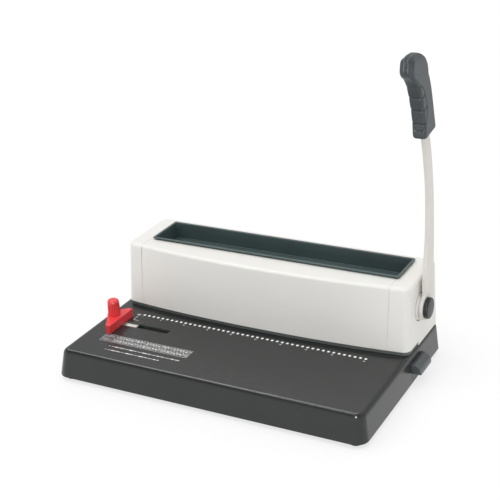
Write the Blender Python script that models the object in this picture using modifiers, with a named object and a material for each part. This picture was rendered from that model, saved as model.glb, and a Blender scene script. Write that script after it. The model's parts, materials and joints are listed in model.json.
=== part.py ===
# Manual coil binding machine: dark base, pale punch housing, side lever, edge guide and chip drawer.
# Metres, +Z up, +X to the lever side, -Y to the user. The origin is mid-footprint, on the floor.

import math

import bmesh
import bpy
from mathutils import Matrix, Vector

# Clearances shared by all pieces
fit_gap = 0.0003
running_gap = 0.0005
cut_overrun = 0.002
weld_distance = 0.00001

# Base casing
base_length = 0.3835
base_left_margin = 0.0212
base_right_margin = 0.0023
base_depth = 0.230
base_skirt = 0.034
base_floor_gap = 0.006
base_left_draft = 0.0095
base_right_draft = 0.0025
base_front_draft = 0.006
base_rear_draft = 0.003
base_front_corner_radius = 0.014
base_rear_corner_radius = 0.007
base_edge_radius = 0.007
base_wall = 0.0025

# Bottom plate, feet and screws under it
plate_recess = 0.001
plate_thickness = 0.002
foot_radius = 0.0075
foot_rounding = 0.0025
foot_inset_x = 0.0145
foot_inset_y = 0.0125
bottom_screw_radius = 0.0035
bottom_screw_head = 0.0016
bottom_screw_inset = 0.034

# Housing over the mechanism
housing_setback_share = 122 / 230  # of the base's depth
housing_rear_margin = 0.003
housing_height = 0.078
housing_front_lean = 0.012
housing_rear_lean = 0.001
housing_side_lean = 0.0015
housing_wall = 0.0025
housing_edge_radius = 0.004
housing_corner_radius = 0.009
end_cap_length = 0.0215
throat_height = 0.0065

# Tray let into the top of the housing
tray_end_margin = 0.0218
tray_flange_width = 0.0018
tray_wall = 0.0014
tray_draft = 0.0015

# Punching line and tooling
punch_pitch = 0.00635
punch_end_margin = 0.017
punch_shift = -0.0048
punch_radius = 0.002
punch_clearance = 0.00035
punch_sides = 8
paper_margin = 0.0045
die_thickness = 0.006
stop_height = 0.0029
stop_depth = 0.0085
stripper_thickness = 0.005
tool_screw_radius = 0.0015
tool_screw_head_radius = 0.0026
tool_screw_head = 0.0025
tool_screw_count = 4
tool_screw_end_inset = 0.010
tool_screw_inset = 0.003

# Side frames
frame_end_inset = 0.018
frame_thickness = 0.003
frame_top_gap = 0.0075
frame_corner = 0.008
frame_screw_radius = 0.002
frame_screw_head_radius = 0.004
frame_screw_head = 0.0025
frame_screw_inset_share = 8 / 26.7  # of the die's depth
tie_bar_radius = 0.004
tie_bar_rear_inset = 0.012

# Drive shaft, cams and punch carriage
bush_wall = 0.003
bush_flange_width = 0.0015
bush_flange = 0.001
cam_thickness = 0.0028
lever_swing_deg = 80
yoke_thickness = 0.0034
bar_width = 0.012
bar_end_reach = 0.003
holder_width = 0.010
holder_end_margin = 0.004
pin_tip_height = 0.0005
clip_width = 0.003
clip_thickness = 0.001

# Return spring and its collar
spring_wire = 0.0015
spring_mean_radius = 0.0078
spring_curls = 5
spring_pitch = 0.0021
spring_points_per_curl = 10
collar_radius = 0.0095
collar_length = 0.005
collar_inset = 0.012

# Lever
lever_height = 0.2945
lever_width = 0.0285
lever_thickness = 0.004
lever_eye_radius = 0.0145
grip_length = 0.0973
grip_depth = 0.045
grip_thickness = 0.015
grip_rounding = 0.0036
grip_clearance = 0.0004
boss_opening_radius = 0.0163
boss_radius = 0.0152
boss_step = 0.0016
boss_proud = 0.0029
boss_seat = 0.003
cap_radius = 0.012
cap_height = 0.0054
cap_wall = 0.0014
cap_rounding = 0.0009
lever_screw_head_radius = 0.007
lever_screw_head = 0.0022

# Edge guide and its clamp
slot_width = 0.0075
slot_setback_share = 84 / 230  # of the base's depth
slot_left_inset = 0.0208
slot_length = 0.083
guide_thickness = 0.0101
guide_stop_length = 0.049
guide_stop_reach = 0.0125
guide_stop_front_share = 0.596
guide_tip_width = 0.0055
guide_apex_radius = 0.0085
slide_clearance = 0.0003
slide_length = 0.036
slide_flange = 0.0035
slide_flange_height = 0.002
slide_end_share = 0.235
bolt_radius = 0.002
bolt_head_radius = 0.0055
bolt_head = 0.0022
bolt_grip = 0.012
knob_base_radius = 0.0074
knob_top_radius = 0.0069
knob_height = 0.0192
knob_rounding = 0.003
knob_flute = 0.0005
knob_sides = 32

# Chip drawer
drawer_width = 0.033
drawer_setback = 0.013
drawer_height = 0.0168
drawer_wall = 0.0014
drawer_mouth_gap = 0.0006
drawer_rear_gap = 0.004
drawer_travel_share = 0.85
rail_width = 0.002
rail_height = 0.006
pull_length = 0.0355
pull_height = 0.0115
pull_top_rise = 0.0195
pull_flange = 0.002
pull_reach = 0.0103
pull_wall = 0.0022

# Screws at the back of the end caps
cover_screw_radius = 0.0032
cover_screw_head = 0.0016

# What fills the housing follows its height, and what lies one behind the other its depth
shaft_height_share = 44.5 / 78
shaft_radius_share = 4.5 / 78
cam_throw_share = 6.2 / 78
cam_radius_share = 12.2 / 78
yoke_wall_share = 3 / 78
bar_height_share = 10 / 78
holder_thickness_share = 5 / 78
carriage_clearance_share = 8.7 / 78
tie_bar_rise_share = 30 / 78
tray_recess_share = 18 / 78
cover_screw_rise_shares = {"low": 14 / 78, "high": 62 / 78}
window_setback_share = 18 / 105
window_depth_share = 79 / 105
throat_depth_share = 40 / 105
punch_setback_share = 30 / 105
die_depth_share = 26.7 / 105
shaft_setback_share = 48 / 105
frame_setback_share = 11 / 105
tray_setback_share = 24 / 105
tray_width_share = 59 / 105

# Round pieces
round_steps = 24
fine_steps = 32
small_steps = 12

# Places worked out from the sizes above
base_top = base_floor_gap + base_skirt
housing_length = base_length - base_left_margin - base_right_margin
housing_half = housing_length / 2
housing_front = -base_depth / 2 + base_depth * housing_setback_share
housing_rear = base_depth / 2 - housing_rear_margin
housing_depth = housing_rear - housing_front
housing_top = base_top + housing_height
throat_top = base_top + throat_height
throat_rear = housing_front + housing_depth * throat_depth_share
seam = housing_half - end_cap_length
shaft_y = housing_front + housing_depth * shaft_setback_share
shaft_height = housing_height * shaft_height_share
shaft_z = base_top + shaft_height
shaft_radius = housing_height * shaft_radius_share
hub_face = housing_half - housing_side_lean * shaft_height / housing_height
lever_inner = hub_face + boss_proud + fit_gap
lever_outer = lever_inner + lever_thickness
reach_right = lever_outer + fit_gap + cap_height
base_left = -housing_half - base_left_margin
base_right = base_left + base_length
middle_shift = -(base_left + reach_right) / 2
base_front = -base_depth / 2
base_rear = base_depth / 2
plate_bottom = base_floor_gap + plate_recess
plate_top = plate_bottom + plate_thickness
deck_underside = base_top - base_wall

frame_inner = housing_half - frame_end_inset
punch_y = housing_front + housing_depth * punch_setback_share
punch_count = math.floor(2 * (frame_inner - punch_end_margin) / punch_pitch) + 1
punch_first = punch_shift - punch_pitch * (punch_count - 1) / 2
window_front = housing_front + housing_depth * window_setback_share
window_rear = window_front + housing_depth * window_depth_share
frame_outer = frame_inner + frame_thickness
tool_half = frame_inner - fit_gap
die_front = window_front + fit_gap
die_depth = housing_depth * die_depth_share
die_rear = die_front + die_depth
die_bottom = base_top - die_thickness
stop_front = punch_y + paper_margin
stop_rear = stop_front + stop_depth
stop_bottom = base_top + fit_gap
stripper_bottom = stop_bottom + stop_height + fit_gap
stripper_top = stripper_bottom + stripper_thickness
tool_screw_y = stop_rear - tool_screw_inset
tool_screw_span = 2 * (frame_inner - tool_screw_end_inset)

half_swing = math.radians(lever_swing_deg) / 2
cam_throw = housing_height * cam_throw_share
cam_radius = housing_height * cam_radius_share
yoke_wall = housing_height * yoke_wall_share
cam_side = cam_throw * math.cos(half_swing)
cam_rise = cam_throw * math.sin(half_swing)
punch_stroke = 2 * cam_rise
holder_bottom = stripper_top + housing_height * carriage_clearance_share
holder_top = holder_bottom + housing_height * holder_thickness_share
bar_bottom = holder_top + fit_gap
bar_top = bar_bottom + housing_height * bar_height_share
bar_half = frame_outer + bar_end_reach
pin_tip = stripper_bottom + pin_tip_height
yoke_outer = frame_inner - running_gap - cut_overrun / 2
yoke_inner = yoke_outer - yoke_thickness
cam_centre_y = shaft_y - cam_side
cam_centre_z = shaft_z + cam_rise
cam_window_half = cam_radius + running_gap
frame_bottom = plate_top + fit_gap
frame_front_low = housing_front + housing_depth * frame_setback_share
frame_front = window_front + fit_gap
frame_rear = window_rear - fit_gap
frame_top = housing_top - housing_wall - frame_top_gap
tie_bar_z = base_top + housing_height * tie_bar_rise_share

drawer_front_y = punch_y - drawer_setback
drawer_rear_y = drawer_front_y + drawer_width
drawer_bottom = plate_top + fit_gap
drawer_top = drawer_bottom + drawer_height
mouth_top = drawer_top + drawer_mouth_gap
mouth_front = drawer_front_y - drawer_mouth_gap
mouth_rear = drawer_rear_y + drawer_mouth_gap
base_inner_right = base_right - base_wall - base_right_draft
drawer_left = -frame_inner + drawer_rear_gap
drawer_right = base_inner_right - fit_gap

slot_y = base_front + base_depth * slot_setback_share
slot_left = base_left + slot_left_inset
slot_right = slot_left + slot_length
slide_left = slot_left + running_gap
slide_right = slide_left + slide_length
knob_x = slide_left + slide_length * slide_end_share
stop_face_x = knob_x + guide_stop_reach
guide_bottom = base_top + fit_gap
guide_top = guide_bottom + guide_thickness
guide_travel = slot_right - slide_right - running_gap
drawer_travel = (drawer_right - drawer_left) * drawer_travel_share

# Lever outline: rise and set-back from the pivot as shares of the height, width as a share of the widest
spine_rise_shares = [0.02, 0.076, 0.158, 0.239, 0.317, 0.396, 0.474, 0.555, 0.637, 0.722, 0.79]
spine_back_shares = [0.034, 0.034, 0.033, 0.038, 0.040, 0.039, 0.032, 0.018, -0.002, -0.028, -0.049]
spine_width_shares = [0.97, 0.98, 0.88, 0.66, 0.55, 0.525, 0.49, 0.48, 0.50, 0.46, 0.42]

# Grip outline in side view: forward reach as a share of the depth, rise as a share of the length
grip_shares = [
    (-0.80, 0.995), (-0.98, 0.969), (-1.14, 0.920), (-1.28, 0.845), (-1.21, 0.785), (-1.02, 0.731),
    (-0.84, 0.635), (-0.70, 0.505), (-0.555, 0.350), (-0.46, 0.202), (-0.415, 0.085), (-0.34, 0.026),
    (-0.15, 0.012), (0.06, 0.022), (0.23, 0.043), (0.282, 0.100), (0.178, 0.251), (-0.030, 0.555),
    (-0.190, 0.766), (-0.40, 0.890), (-0.60, 0.968),
]

# Colours as seen on the machine: base colour, roughness, metallic
finishes = {
    "base_black": ((0.055, 0.056, 0.055), 0.42, 0.0),
    "housing_white": ((0.78, 0.77, 0.74), 0.45, 0.0),
    "lever_white": ((0.72, 0.69, 0.64), 0.40, 0.0),
    "tray_dark": ((0.030, 0.042, 0.042), 0.50, 0.0),
    "grip_grey": ((0.060, 0.075, 0.083), 0.55, 0.0),
    "guide_red": ((0.72, 0.03, 0.04), 0.38, 0.0),
    "slide_white": ((0.75, 0.74, 0.70), 0.40, 0.0),
    "rubber": ((0.018, 0.018, 0.018), 0.85, 0.0),
    "steel": ((0.55, 0.55, 0.54), 0.35, 1.0),
    "dark_steel": ((0.16, 0.16, 0.17), 0.40, 1.0),
    "bronze": ((0.55, 0.38, 0.20), 0.40, 1.0),
}


def clear_scene():
    for item in list(bpy.data.objects):
        bpy.data.objects.remove(item, do_unlink=True)


def new_collection(name):
    collection = bpy.data.collections.new(name)
    bpy.context.scene.collection.children.link(collection)
    return collection


def make_materials():
    made = {}
    for name, (colour, roughness, metallic) in finishes.items():
        material = bpy.data.materials.new(name)
        material.use_nodes = True
        shader = material.node_tree.nodes["Principled BSDF"]
        shader.inputs["Base Color"].default_value = (*colour, 1)
        shader.inputs["Roughness"].default_value = roughness
        shader.inputs["Metallic"].default_value = metallic
        made[name] = material
    return made


clear_scene()
parts = new_collection("coil_binding_machine")
cutters = new_collection("cutters")
materials = make_materials()


def pivot(name, place):
    empty = bpy.data.objects.new(name, None)
    parts.objects.link(empty)
    empty.location = place
    return empty


def hang_on(item, empty):
    item.parent = empty
    item.matrix_parent_inverse = Matrix.Translation(-Vector(empty.location))


def finish(item, material, empty=None, smooth=False):
    item.data.materials.clear()
    item.data.materials.append(materials[material])
    if smooth:
        item.data.shade_smooth()
        item.data.set_sharp_from_angle(angle=math.radians(35))
    if empty:
        hang_on(item, empty)
    return item


def add_object(name, mesh, collection=None):
    item = bpy.data.objects.new(name, mesh)
    (collection or parts).objects.link(item)
    return item


def mesh_from(item):
    # The evaluated shape as a plain mesh object, with its loose caps welded
    bpy.context.view_layer.update()
    graph = bpy.context.evaluated_depsgraph_get()
    mesh = bpy.data.meshes.new_from_object(item.evaluated_get(graph))
    work = bmesh.new()
    work.from_mesh(mesh)
    bmesh.ops.remove_doubles(work, verts=work.verts, dist=weld_distance)
    work.to_mesh(mesh)
    work.free()
    made = add_object(item.name + "_solid", mesh, item.users_collection[0])
    made.matrix_world = item.matrix_world.copy()
    name = item.name
    bpy.data.objects.remove(item, do_unlink=True)
    made.name = name
    return made


def block(name, x_range, y_range, z_range, collection=None, top_x=None, top_y=None):
    # A box, or with top ranges a drafted box, from a cube primitive
    top_x = top_x or x_range
    top_y = top_y or y_range
    work = bmesh.new()
    bmesh.ops.create_cube(work, size=2)
    for vert in work.verts:
        spans = (top_x, top_y) if vert.co.z > 0 else (x_range, y_range)
        side_x = 1 if vert.co.x > 0 else 0
        side_y = 1 if vert.co.y > 0 else 0
        side_z = 1 if vert.co.z > 0 else 0
        vert.co = (spans[0][side_x], spans[1][side_y], z_range[side_z])
    mesh = bpy.data.meshes.new(name)
    work.to_mesh(mesh)
    work.free()
    return add_object(name, mesh, collection)


def circle_points(centre, radius, count, turn=0.0):
    steps = [turn + 2 * math.pi * step / count for step in range(count)]
    return [(centre[0] + radius * math.cos(a), centre[1] + radius * math.sin(a)) for a in steps]


def arc_points(centre, radius, start_deg, end_deg, steps):
    turns = [math.radians(start_deg + (end_deg - start_deg) * step / steps) for step in range(steps + 1)]
    return [(centre[0] + radius * math.cos(a), centre[1] + radius * math.sin(a)) for a in turns]


def rounded_rectangle(u_range, v_range, radius, steps=4):
    points = []
    corners = [(u_range[1], v_range[1], 0), (u_range[0], v_range[1], 90),
               (u_range[0], v_range[0], 180), (u_range[1], v_range[0], 270)]
    for u, v, start in corners:
        centre_u = u - radius if u == u_range[1] else u + radius
        centre_v = v - radius if v == v_range[1] else v + radius
        points += arc_points((centre_u, centre_v), radius, start, start + 90, steps)
    return points


def rectangle(u_range, v_range):
    return [(u_range[0], v_range[0]), (u_range[1], v_range[0]),
            (u_range[1], v_range[1]), (u_range[0], v_range[1])]


facings = {
    "z": Matrix(((1, 0, 0), (0, 1, 0), (0, 0, 1))),
    "x": Matrix(((0, 0, 1), (1, 0, 0), (0, 1, 0))),
    "y": Matrix(((1, 0, 0), (0, 0, -1), (0, 1, 0))),
}


def flat_piece(name, outline, holes, span, facing, collection=None, rounding=0.0):
    # A flat outline with holes, as thick as the span along the facing axis, with its rims rounded
    curve = bpy.data.curves.new(name, "CURVE")
    curve.dimensions = "2D"
    curve.fill_mode = "BOTH"
    curve.extrude = (span[1] - span[0]) / 2 - rounding
    curve.bevel_depth = rounding
    curve.bevel_resolution = 1
    curve.offset = -rounding
    for points in [outline] + holes:
        spline = curve.splines.new("POLY")
        spline.points.add(len(points) - 1)
        for point, (u, v) in zip(spline.points, points):
            point.co = (u, v, 0, 1)
        spline.use_cyclic_u = True
    item = add_object(name, curve, collection)
    middle = (span[0] + span[1]) / 2
    offset = {"z": (0, 0, middle), "x": (middle, 0, 0), "y": (0, middle, 0)}[facing]
    item.matrix_world = Matrix.Translation(offset) @ facings[facing].to_4x4()
    return mesh_from(item)


def turned_piece(name, profile, place, facing="z", closed=False, steps=round_steps, collection=None):
    # A profile of (radius, height) pairs, top to bottom on its outer side, turned about the facing axis
    mesh = bpy.data.meshes.new(name)
    edges = [(step, step + 1) for step in range(len(profile) - 1)]
    if closed:
        edges.append((len(profile) - 1, 0))
    mesh.from_pydata([(radius, 0, height) for radius, height in profile], edges, [])
    item = add_object(name, mesh, collection)
    screw = item.modifiers.new("Turn", "SCREW")
    screw.steps = steps
    screw.render_steps = steps
    screw.use_merge_vertices = True
    screw.merge_threshold = weld_distance
    turn = Matrix.Rotation(math.radians({"z": 0, "x": 90, "-x": -90}[facing]), 4, "Y")
    item.matrix_world = Matrix.Translation(place) @ turn
    return mesh_from(item)


def ring_profile(inner, outer, low, high):
    return [(outer, high), (outer, low), (inner, low), (inner, high)]


def post_profile(radius, low, high):
    return [(0, high), (radius, high), (radius, low), (0, low)]


def joined_cutter(name, items):
    # Several closed solids as one operand of a Boolean
    work = bmesh.new()
    for item in items:
        piece = item.data.copy()
        piece.transform(item.matrix_world)
        work.from_mesh(piece)
        bpy.data.meshes.remove(piece)
        bpy.data.objects.remove(item, do_unlink=True)
    mesh = bpy.data.meshes.new(name)
    work.to_mesh(mesh)
    work.free()
    return add_object(name, mesh, cutters)


def cut(item, cutter, operation="DIFFERENCE"):
    step = item.modifiers.new("Cut", "BOOLEAN")
    step.operation = operation
    step.solver = "EXACT"
    step.object = cutter
    cutter.hide_render = True
    cutter.display_type = "WIRE"


def drop_faces(item, test):
    work = bmesh.new()
    work.from_mesh(item.data)
    gone = [face for face in work.faces if test(face)]
    bmesh.ops.delete(work, geom=gone, context="FACES")
    work.to_mesh(item.data)
    work.free()


def round_edges(item, radius_of, widest, segments):
    # Each edge's radius comes from radius_of, as a weight of the widest one
    work = bmesh.new()
    work.from_mesh(item.data)
    layer = work.edges.layers.float.new("bevel_weight_edge")
    for edge in work.edges:
        edge[layer] = radius_of(edge) / widest
    work.to_mesh(item.data)
    work.free()
    bevel = item.modifiers.new("Rounds", "BEVEL")
    bevel.limit_method = "WEIGHT"
    bevel.width = widest
    bevel.segments = segments


def thicken(item, wall):
    shell = item.modifiers.new("Wall", "SOLIDIFY")
    shell.thickness = wall
    shell.offset = -1
    shell.use_even_offset = True


def smooth_through(points, steps, closed=False):
    # A smooth curve through the given points
    count = len(points)
    dims = range(len(points[0]))
    result = []
    spans = count if closed else count - 1
    for index in range(spans):
        if closed:
            a, b, c, d = (points[(index + shift) % count] for shift in (-1, 0, 1, 2))
        else:
            a, b, c, d = (points[min(max(index + shift, 0), count - 1)] for shift in (-1, 0, 1, 2))
        for step in range(steps):
            t = step / steps
            result.append(tuple(
                0.5 * (2 * b[k] + (c[k] - a[k]) * t + (2 * a[k] - 5 * b[k] + 4 * c[k] - d[k]) * t * t
                       + (3 * b[k] - a[k] - 3 * c[k] + d[k]) * t * t * t) for k in dims))
    if not closed:
        result.append(tuple(points[-1]))
    return result


def upright(edge):
    low, high = sorted(vert.co.z for vert in edge.verts)
    return high - low > base_wall


def at_height(edge, height):
    return all(abs(vert.co.z - height) < weld_distance for vert in edge.verts)


def make_base_shell():
    shell = block(
        "base_shell", (base_left, base_right), (base_front, base_rear), (base_floor_gap, base_top),
        top_x=(base_left + base_left_draft, base_right - base_right_draft),
        top_y=(base_front + base_front_draft, base_rear - base_rear_draft))
    drop_faces(shell, lambda face: all(abs(v.co.z - base_floor_gap) < weld_distance for v in face.verts))

    def radius_of(edge):
        if upright(edge):
            in_front = edge.verts[0].co.y < 0
            return base_front_corner_radius if in_front else base_rear_corner_radius
        return base_edge_radius if at_height(edge, base_top) else 0.0

    round_edges(shell, radius_of, base_front_corner_radius, 4)
    thicken(shell, base_wall)
    window = block("window_cutter", (-frame_outer - bar_end_reach, frame_outer + bar_end_reach),
                   (window_front, window_rear),
                   (deck_underside - cut_overrun, base_top + cut_overrun), cutters)
    cut(shell, window)
    slot = flat_piece("slot_cutter", rounded_rectangle(
        (slot_left, slot_right), (slot_y - slot_width / 2, slot_y + slot_width / 2), base_wall / 2), [],
        (deck_underside - cut_overrun, base_top + cut_overrun), "z", cutters)
    cut(shell, slot)
    mouth = block("mouth_cutter", (base_inner_right - 2 * cut_overrun, base_right + cut_overrun),
                  (mouth_front, mouth_rear), (plate_top, mouth_top), cutters)
    cut(shell, mouth)
    return finish(shell, "base_black", smooth=True)


def plate_inset(draft):
    # From the skirt's bottom edge in to the plate, past the leaning wall
    lean = draft / base_skirt
    return base_wall * math.hypot(1, lean) + lean * (plate_top - base_floor_gap) + fit_gap


def make_base_plate():
    outline = rounded_rectangle(
        (base_left + plate_inset(base_left_draft), base_right - plate_inset(base_right_draft)),
        (base_front + plate_inset(base_front_draft), base_rear - plate_inset(base_rear_draft)),
        base_front_corner_radius - base_wall + fit_gap, 5)
    plate = flat_piece("base_plate", outline, [], (plate_bottom, plate_top), "z")
    finish(plate, "dark_steel")


def corner_places(inset_x, inset_y):
    return {
        "front_left": (base_left + inset_x, base_front + inset_y),
        "front_right": (base_right - inset_x, base_front + inset_y),
        "rear_left": (base_left + inset_x, base_rear - inset_y),
        "rear_right": (base_right - inset_x, base_rear - inset_y),
    }


def make_feet():
    top = plate_bottom - fit_gap
    dome = arc_points((foot_radius - foot_rounding, foot_rounding), foot_rounding, 0, -90, 3)
    profile = [(0, top), (foot_radius, top)] + dome + [(0, 0)]
    for corner, (x, y) in corner_places(foot_inset_x, foot_inset_y).items():
        foot = turned_piece("foot_" + corner, profile, (x, y, 0))
        finish(foot, "rubber", smooth=True)


def make_base_screws():
    top = plate_bottom - fit_gap
    places = corner_places(bottom_screw_inset, bottom_screw_inset)
    profile = post_profile(bottom_screw_radius, top - bottom_screw_head, top)
    for corner, (x, y) in places.items():
        screw = turned_piece("base_screw_" + corner, profile, (x, y, 0), steps=small_steps)
        finish(screw, "dark_steel", smooth=True)


def punch_places():
    return [punch_first + punch_pitch * step for step in range(punch_count)]


def punch_holes():
    turn = math.pi / punch_sides
    reach = punch_radius + punch_clearance
    return [circle_points((x, punch_y), reach, punch_sides, turn) for x in punch_places()]


def tool_screw_places():
    gap = tool_screw_span / (tool_screw_count - 1)
    return [-tool_screw_span / 2 + gap * step for step in range(tool_screw_count)]


def tool_screw_holes():
    radius = tool_screw_radius + fit_gap
    return [circle_points((x, tool_screw_y), radius, punch_sides) for x in tool_screw_places()]


def make_tooling():
    holes = tool_screw_holes()
    die = flat_piece("die_plate", rectangle((-tool_half, tool_half), (die_front, die_rear)),
                     punch_holes() + holes, (die_bottom, base_top), "z")
    finish(die, "steel")
    stop = flat_piece("back_stop", rectangle((-tool_half, tool_half), (stop_front, stop_rear)),
                      holes, (stop_bottom, stop_bottom + stop_height), "z")
    finish(stop, "dark_steel")
    stripper = flat_piece("stripper_plate", rectangle((-tool_half, tool_half), (die_front, stop_rear)),
                          punch_holes() + holes, (stripper_bottom, stripper_top), "z")
    finish(stripper, "steel")
    head = stripper_top + fit_gap
    profile = [(0, head + tool_screw_head), (tool_screw_head_radius, head + tool_screw_head),
               (tool_screw_head_radius, head), (tool_screw_radius, head),
               (tool_screw_radius, die_bottom), (0, die_bottom)]
    for number, x in enumerate(tool_screw_places(), 1):
        screw = turned_piece("stripper_screw_%d" % number, profile, (x, tool_screw_y, 0), steps=punch_sides)
        finish(screw, "dark_steel", smooth=True)


def frame_screw_places():
    low = (mouth_top + base_top) / 2
    inset = die_depth * frame_screw_inset_share
    return [(die_front + inset, low), (die_rear - inset, low)]


def frame_outline():
    return [
        (frame_front_low, frame_bottom), (mouth_front, frame_bottom), (mouth_front, mouth_top),
        (mouth_rear, mouth_top), (mouth_rear, frame_bottom), (frame_rear, frame_bottom),
        (frame_rear, frame_top - frame_corner), (frame_rear - frame_corner, frame_top),
        (frame_front + frame_corner, frame_top), (frame_front, frame_top - frame_corner),
        (frame_front, stripper_bottom), (throat_rear, stripper_bottom), (throat_rear, base_top),
        (frame_front, base_top), (frame_front, deck_underside - fit_gap),
        (frame_front_low, deck_underside - fit_gap),
    ]


def frame_holes():
    slot_low = bar_bottom - punch_stroke - running_gap
    bar_slot = rectangle((punch_y - bar_width / 2 - fit_gap, punch_y + bar_width / 2 + fit_gap),
                         (slot_low, bar_top + running_gap))
    bush_hole = circle_points((shaft_y, shaft_z), shaft_radius + bush_wall + 2 * fit_gap, round_steps)
    screw_holes = [circle_points(place, frame_screw_radius + fit_gap, punch_sides)
                   for place in frame_screw_places()]
    return [bar_slot, bush_hole] + screw_holes


def make_frames():
    sides = {"left": (-frame_outer, -frame_inner), "right": (frame_inner, frame_outer)}
    for side, span in sides.items():
        frame = flat_piece("side_frame_" + side, frame_outline(), frame_holes(), span, "x")
        finish(frame, "dark_steel")
    head = frame_outer + fit_gap
    profile = [(0, head + frame_screw_head), (frame_screw_head_radius, head + frame_screw_head),
               (frame_screw_head_radius, head), (frame_screw_radius, head),
               (frame_screw_radius, frame_inner), (0, frame_inner)]
    for side, facing in (("left", "-x"), ("right", "x")):
        for row, (y, z) in zip(("front", "rear"), frame_screw_places()):
            screw = turned_piece("frame_screw_%s_%s" % (side, row), profile, (0, y, z), facing,
                                 steps=small_steps)
            finish(screw, "steel", smooth=True)
    tie = turned_piece("rear_tie_bar", post_profile(tie_bar_radius, -tool_half, tool_half),
                       (0, frame_rear - tie_bar_rear_inset, tie_bar_z), "x")
    finish(tie, "steel", smooth=True)


def make_shaft(lever_pivot):
    left_end = -frame_outer - fit_gap - 2 * bush_flange - clip_thickness - bush_flange
    shaft = turned_piece("drive_shaft", post_profile(shaft_radius, left_end, lever_outer),
                         (0, shaft_y, shaft_z), "x")
    finish(shaft, "steel", lever_pivot, smooth=True)
    inner = shaft_radius + fit_gap
    outer = inner + bush_wall - fit_gap
    flange = outer + bush_flange_width
    profile = [(flange, frame_outer + fit_gap + bush_flange), (flange, frame_outer + fit_gap),
               (outer, frame_outer + fit_gap), (outer, frame_inner),
               (inner, frame_inner), (inner, frame_outer + fit_gap + bush_flange)]
    right = turned_piece("shaft_bush_right", profile, (0, shaft_y, shaft_z), "x", closed=True)
    finish(right, "bronze", smooth=True)
    left = turned_piece("shaft_bush_left", profile, (0, shaft_y, shaft_z), "-x", closed=True)
    finish(left, "bronze", smooth=True)
    clip_start = frame_outer + 2 * fit_gap + bush_flange
    profile = ring_profile(inner, inner + clip_width, clip_start, clip_start + clip_thickness)
    for side, facing in (("left", "-x"), ("right", "x")):
        clip = turned_piece("shaft_clip_" + side, profile, (0, shaft_y, shaft_z), facing, closed=True)
        finish(clip, "dark_steel", lever_pivot, smooth=True)


def make_cams(lever_pivot):
    outline = circle_points((cam_centre_y, cam_centre_z), cam_radius, fine_steps)
    bore = circle_points((shaft_y, shaft_z), shaft_radius + fit_gap, round_steps)
    inset = (yoke_thickness - cam_thickness) / 2
    for side, span in (("left", (-yoke_outer + inset, -yoke_inner - inset)),
                       ("right", (yoke_inner + inset, yoke_outer - inset))):
        cam = flat_piece("cam_" + side, outline, [bore], span, "x")
        finish(cam, "steel", lever_pivot)


def make_carriage(carriage):
    turn = math.pi / punch_sides
    pins = [flat_piece("pin", circle_points((x, punch_y), punch_radius, punch_sides, turn), [],
                       (pin_tip, (holder_bottom + holder_top) / 2), "z", cutters) for x in punch_places()]
    half = punch_pitch * (punch_count - 1) / 2 + holder_end_margin
    comb = block("punch_comb", (punch_shift - half, punch_shift + half),
                 (punch_y - holder_width / 2, punch_y + holder_width / 2), (holder_bottom, holder_top))
    cut(comb, joined_cutter("pin_row", pins), "UNION")
    finish(comb, "steel", carriage)
    bar = block("pressure_bar", (-bar_half, bar_half), (punch_y - bar_width / 2, punch_y + bar_width / 2),
                (bar_bottom, bar_top))
    finish(bar, "steel", carriage)
    seat = rectangle((punch_y - bar_width / 2 - fit_gap, punch_y + bar_width / 2 + fit_gap),
                     (bar_bottom - fit_gap, bar_top + fit_gap))
    window_front_y = shaft_y - cam_throw - cam_window_half
    window_rear_y = shaft_y - cam_side + cam_window_half
    low = cam_centre_z - cam_window_half
    high = cam_centre_z + cam_window_half
    window = rounded_rectangle((window_front_y, window_rear_y), (low, high), cam_radius / 2)
    front = punch_y - bar_width / 2 - yoke_wall
    rear = window_rear_y + yoke_wall
    foot = bar_bottom - fit_gap - yoke_wall
    outline = [(front, foot), (rear - yoke_wall, foot), (rear, bar_bottom), (rear, high),
               (rear - yoke_wall, high + yoke_wall), (window_front_y, high + yoke_wall), (front, high)]
    for side, span in (("left", (-yoke_outer, -yoke_inner)), ("right", (yoke_inner, yoke_outer))):
        yoke = flat_piece("yoke_" + side, outline, [seat, window], span, "x")
        finish(yoke, "dark_steel", carriage)


def spring_path():
    # Five curls about the shaft, with one leg back to the tie bar and one along the shaft to the collar
    start_x = frame_inner - collar_inset - collar_length - running_gap - spring_wire / 2
    count = spring_curls * spring_points_per_curl
    tie_y = frame_rear - tie_bar_rear_inset
    points = [(start_x + spring_wire / 2 + running_gap / 2, shaft_y + spring_mean_radius, shaft_z)]
    for step in range(count + 1):
        turn = -2 * math.pi * step / spring_points_per_curl
        x = start_x - spring_pitch * step / spring_points_per_curl - spring_wire / 2
        points.append((x, shaft_y + spring_mean_radius * math.cos(turn),
                       shaft_z + spring_mean_radius * math.sin(turn)))
    last_x = points[-1][0]
    leg_z = tie_bar_z + tie_bar_radius + spring_wire / 2 + fit_gap
    points.append((last_x - spring_wire, (shaft_y + spring_mean_radius + tie_y) / 2,
                   (shaft_z + leg_z) / 2))
    points.append((last_x - spring_wire, tie_y, leg_z))
    return points


def least_self_gap(points, near):
    # Least distance between points of the path that are at least a curl's worth of points apart
    least = min((Vector(a) - Vector(b)).length for i, a in enumerate(points)
                for b in points[i + near:])
    return least - spring_wire


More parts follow.
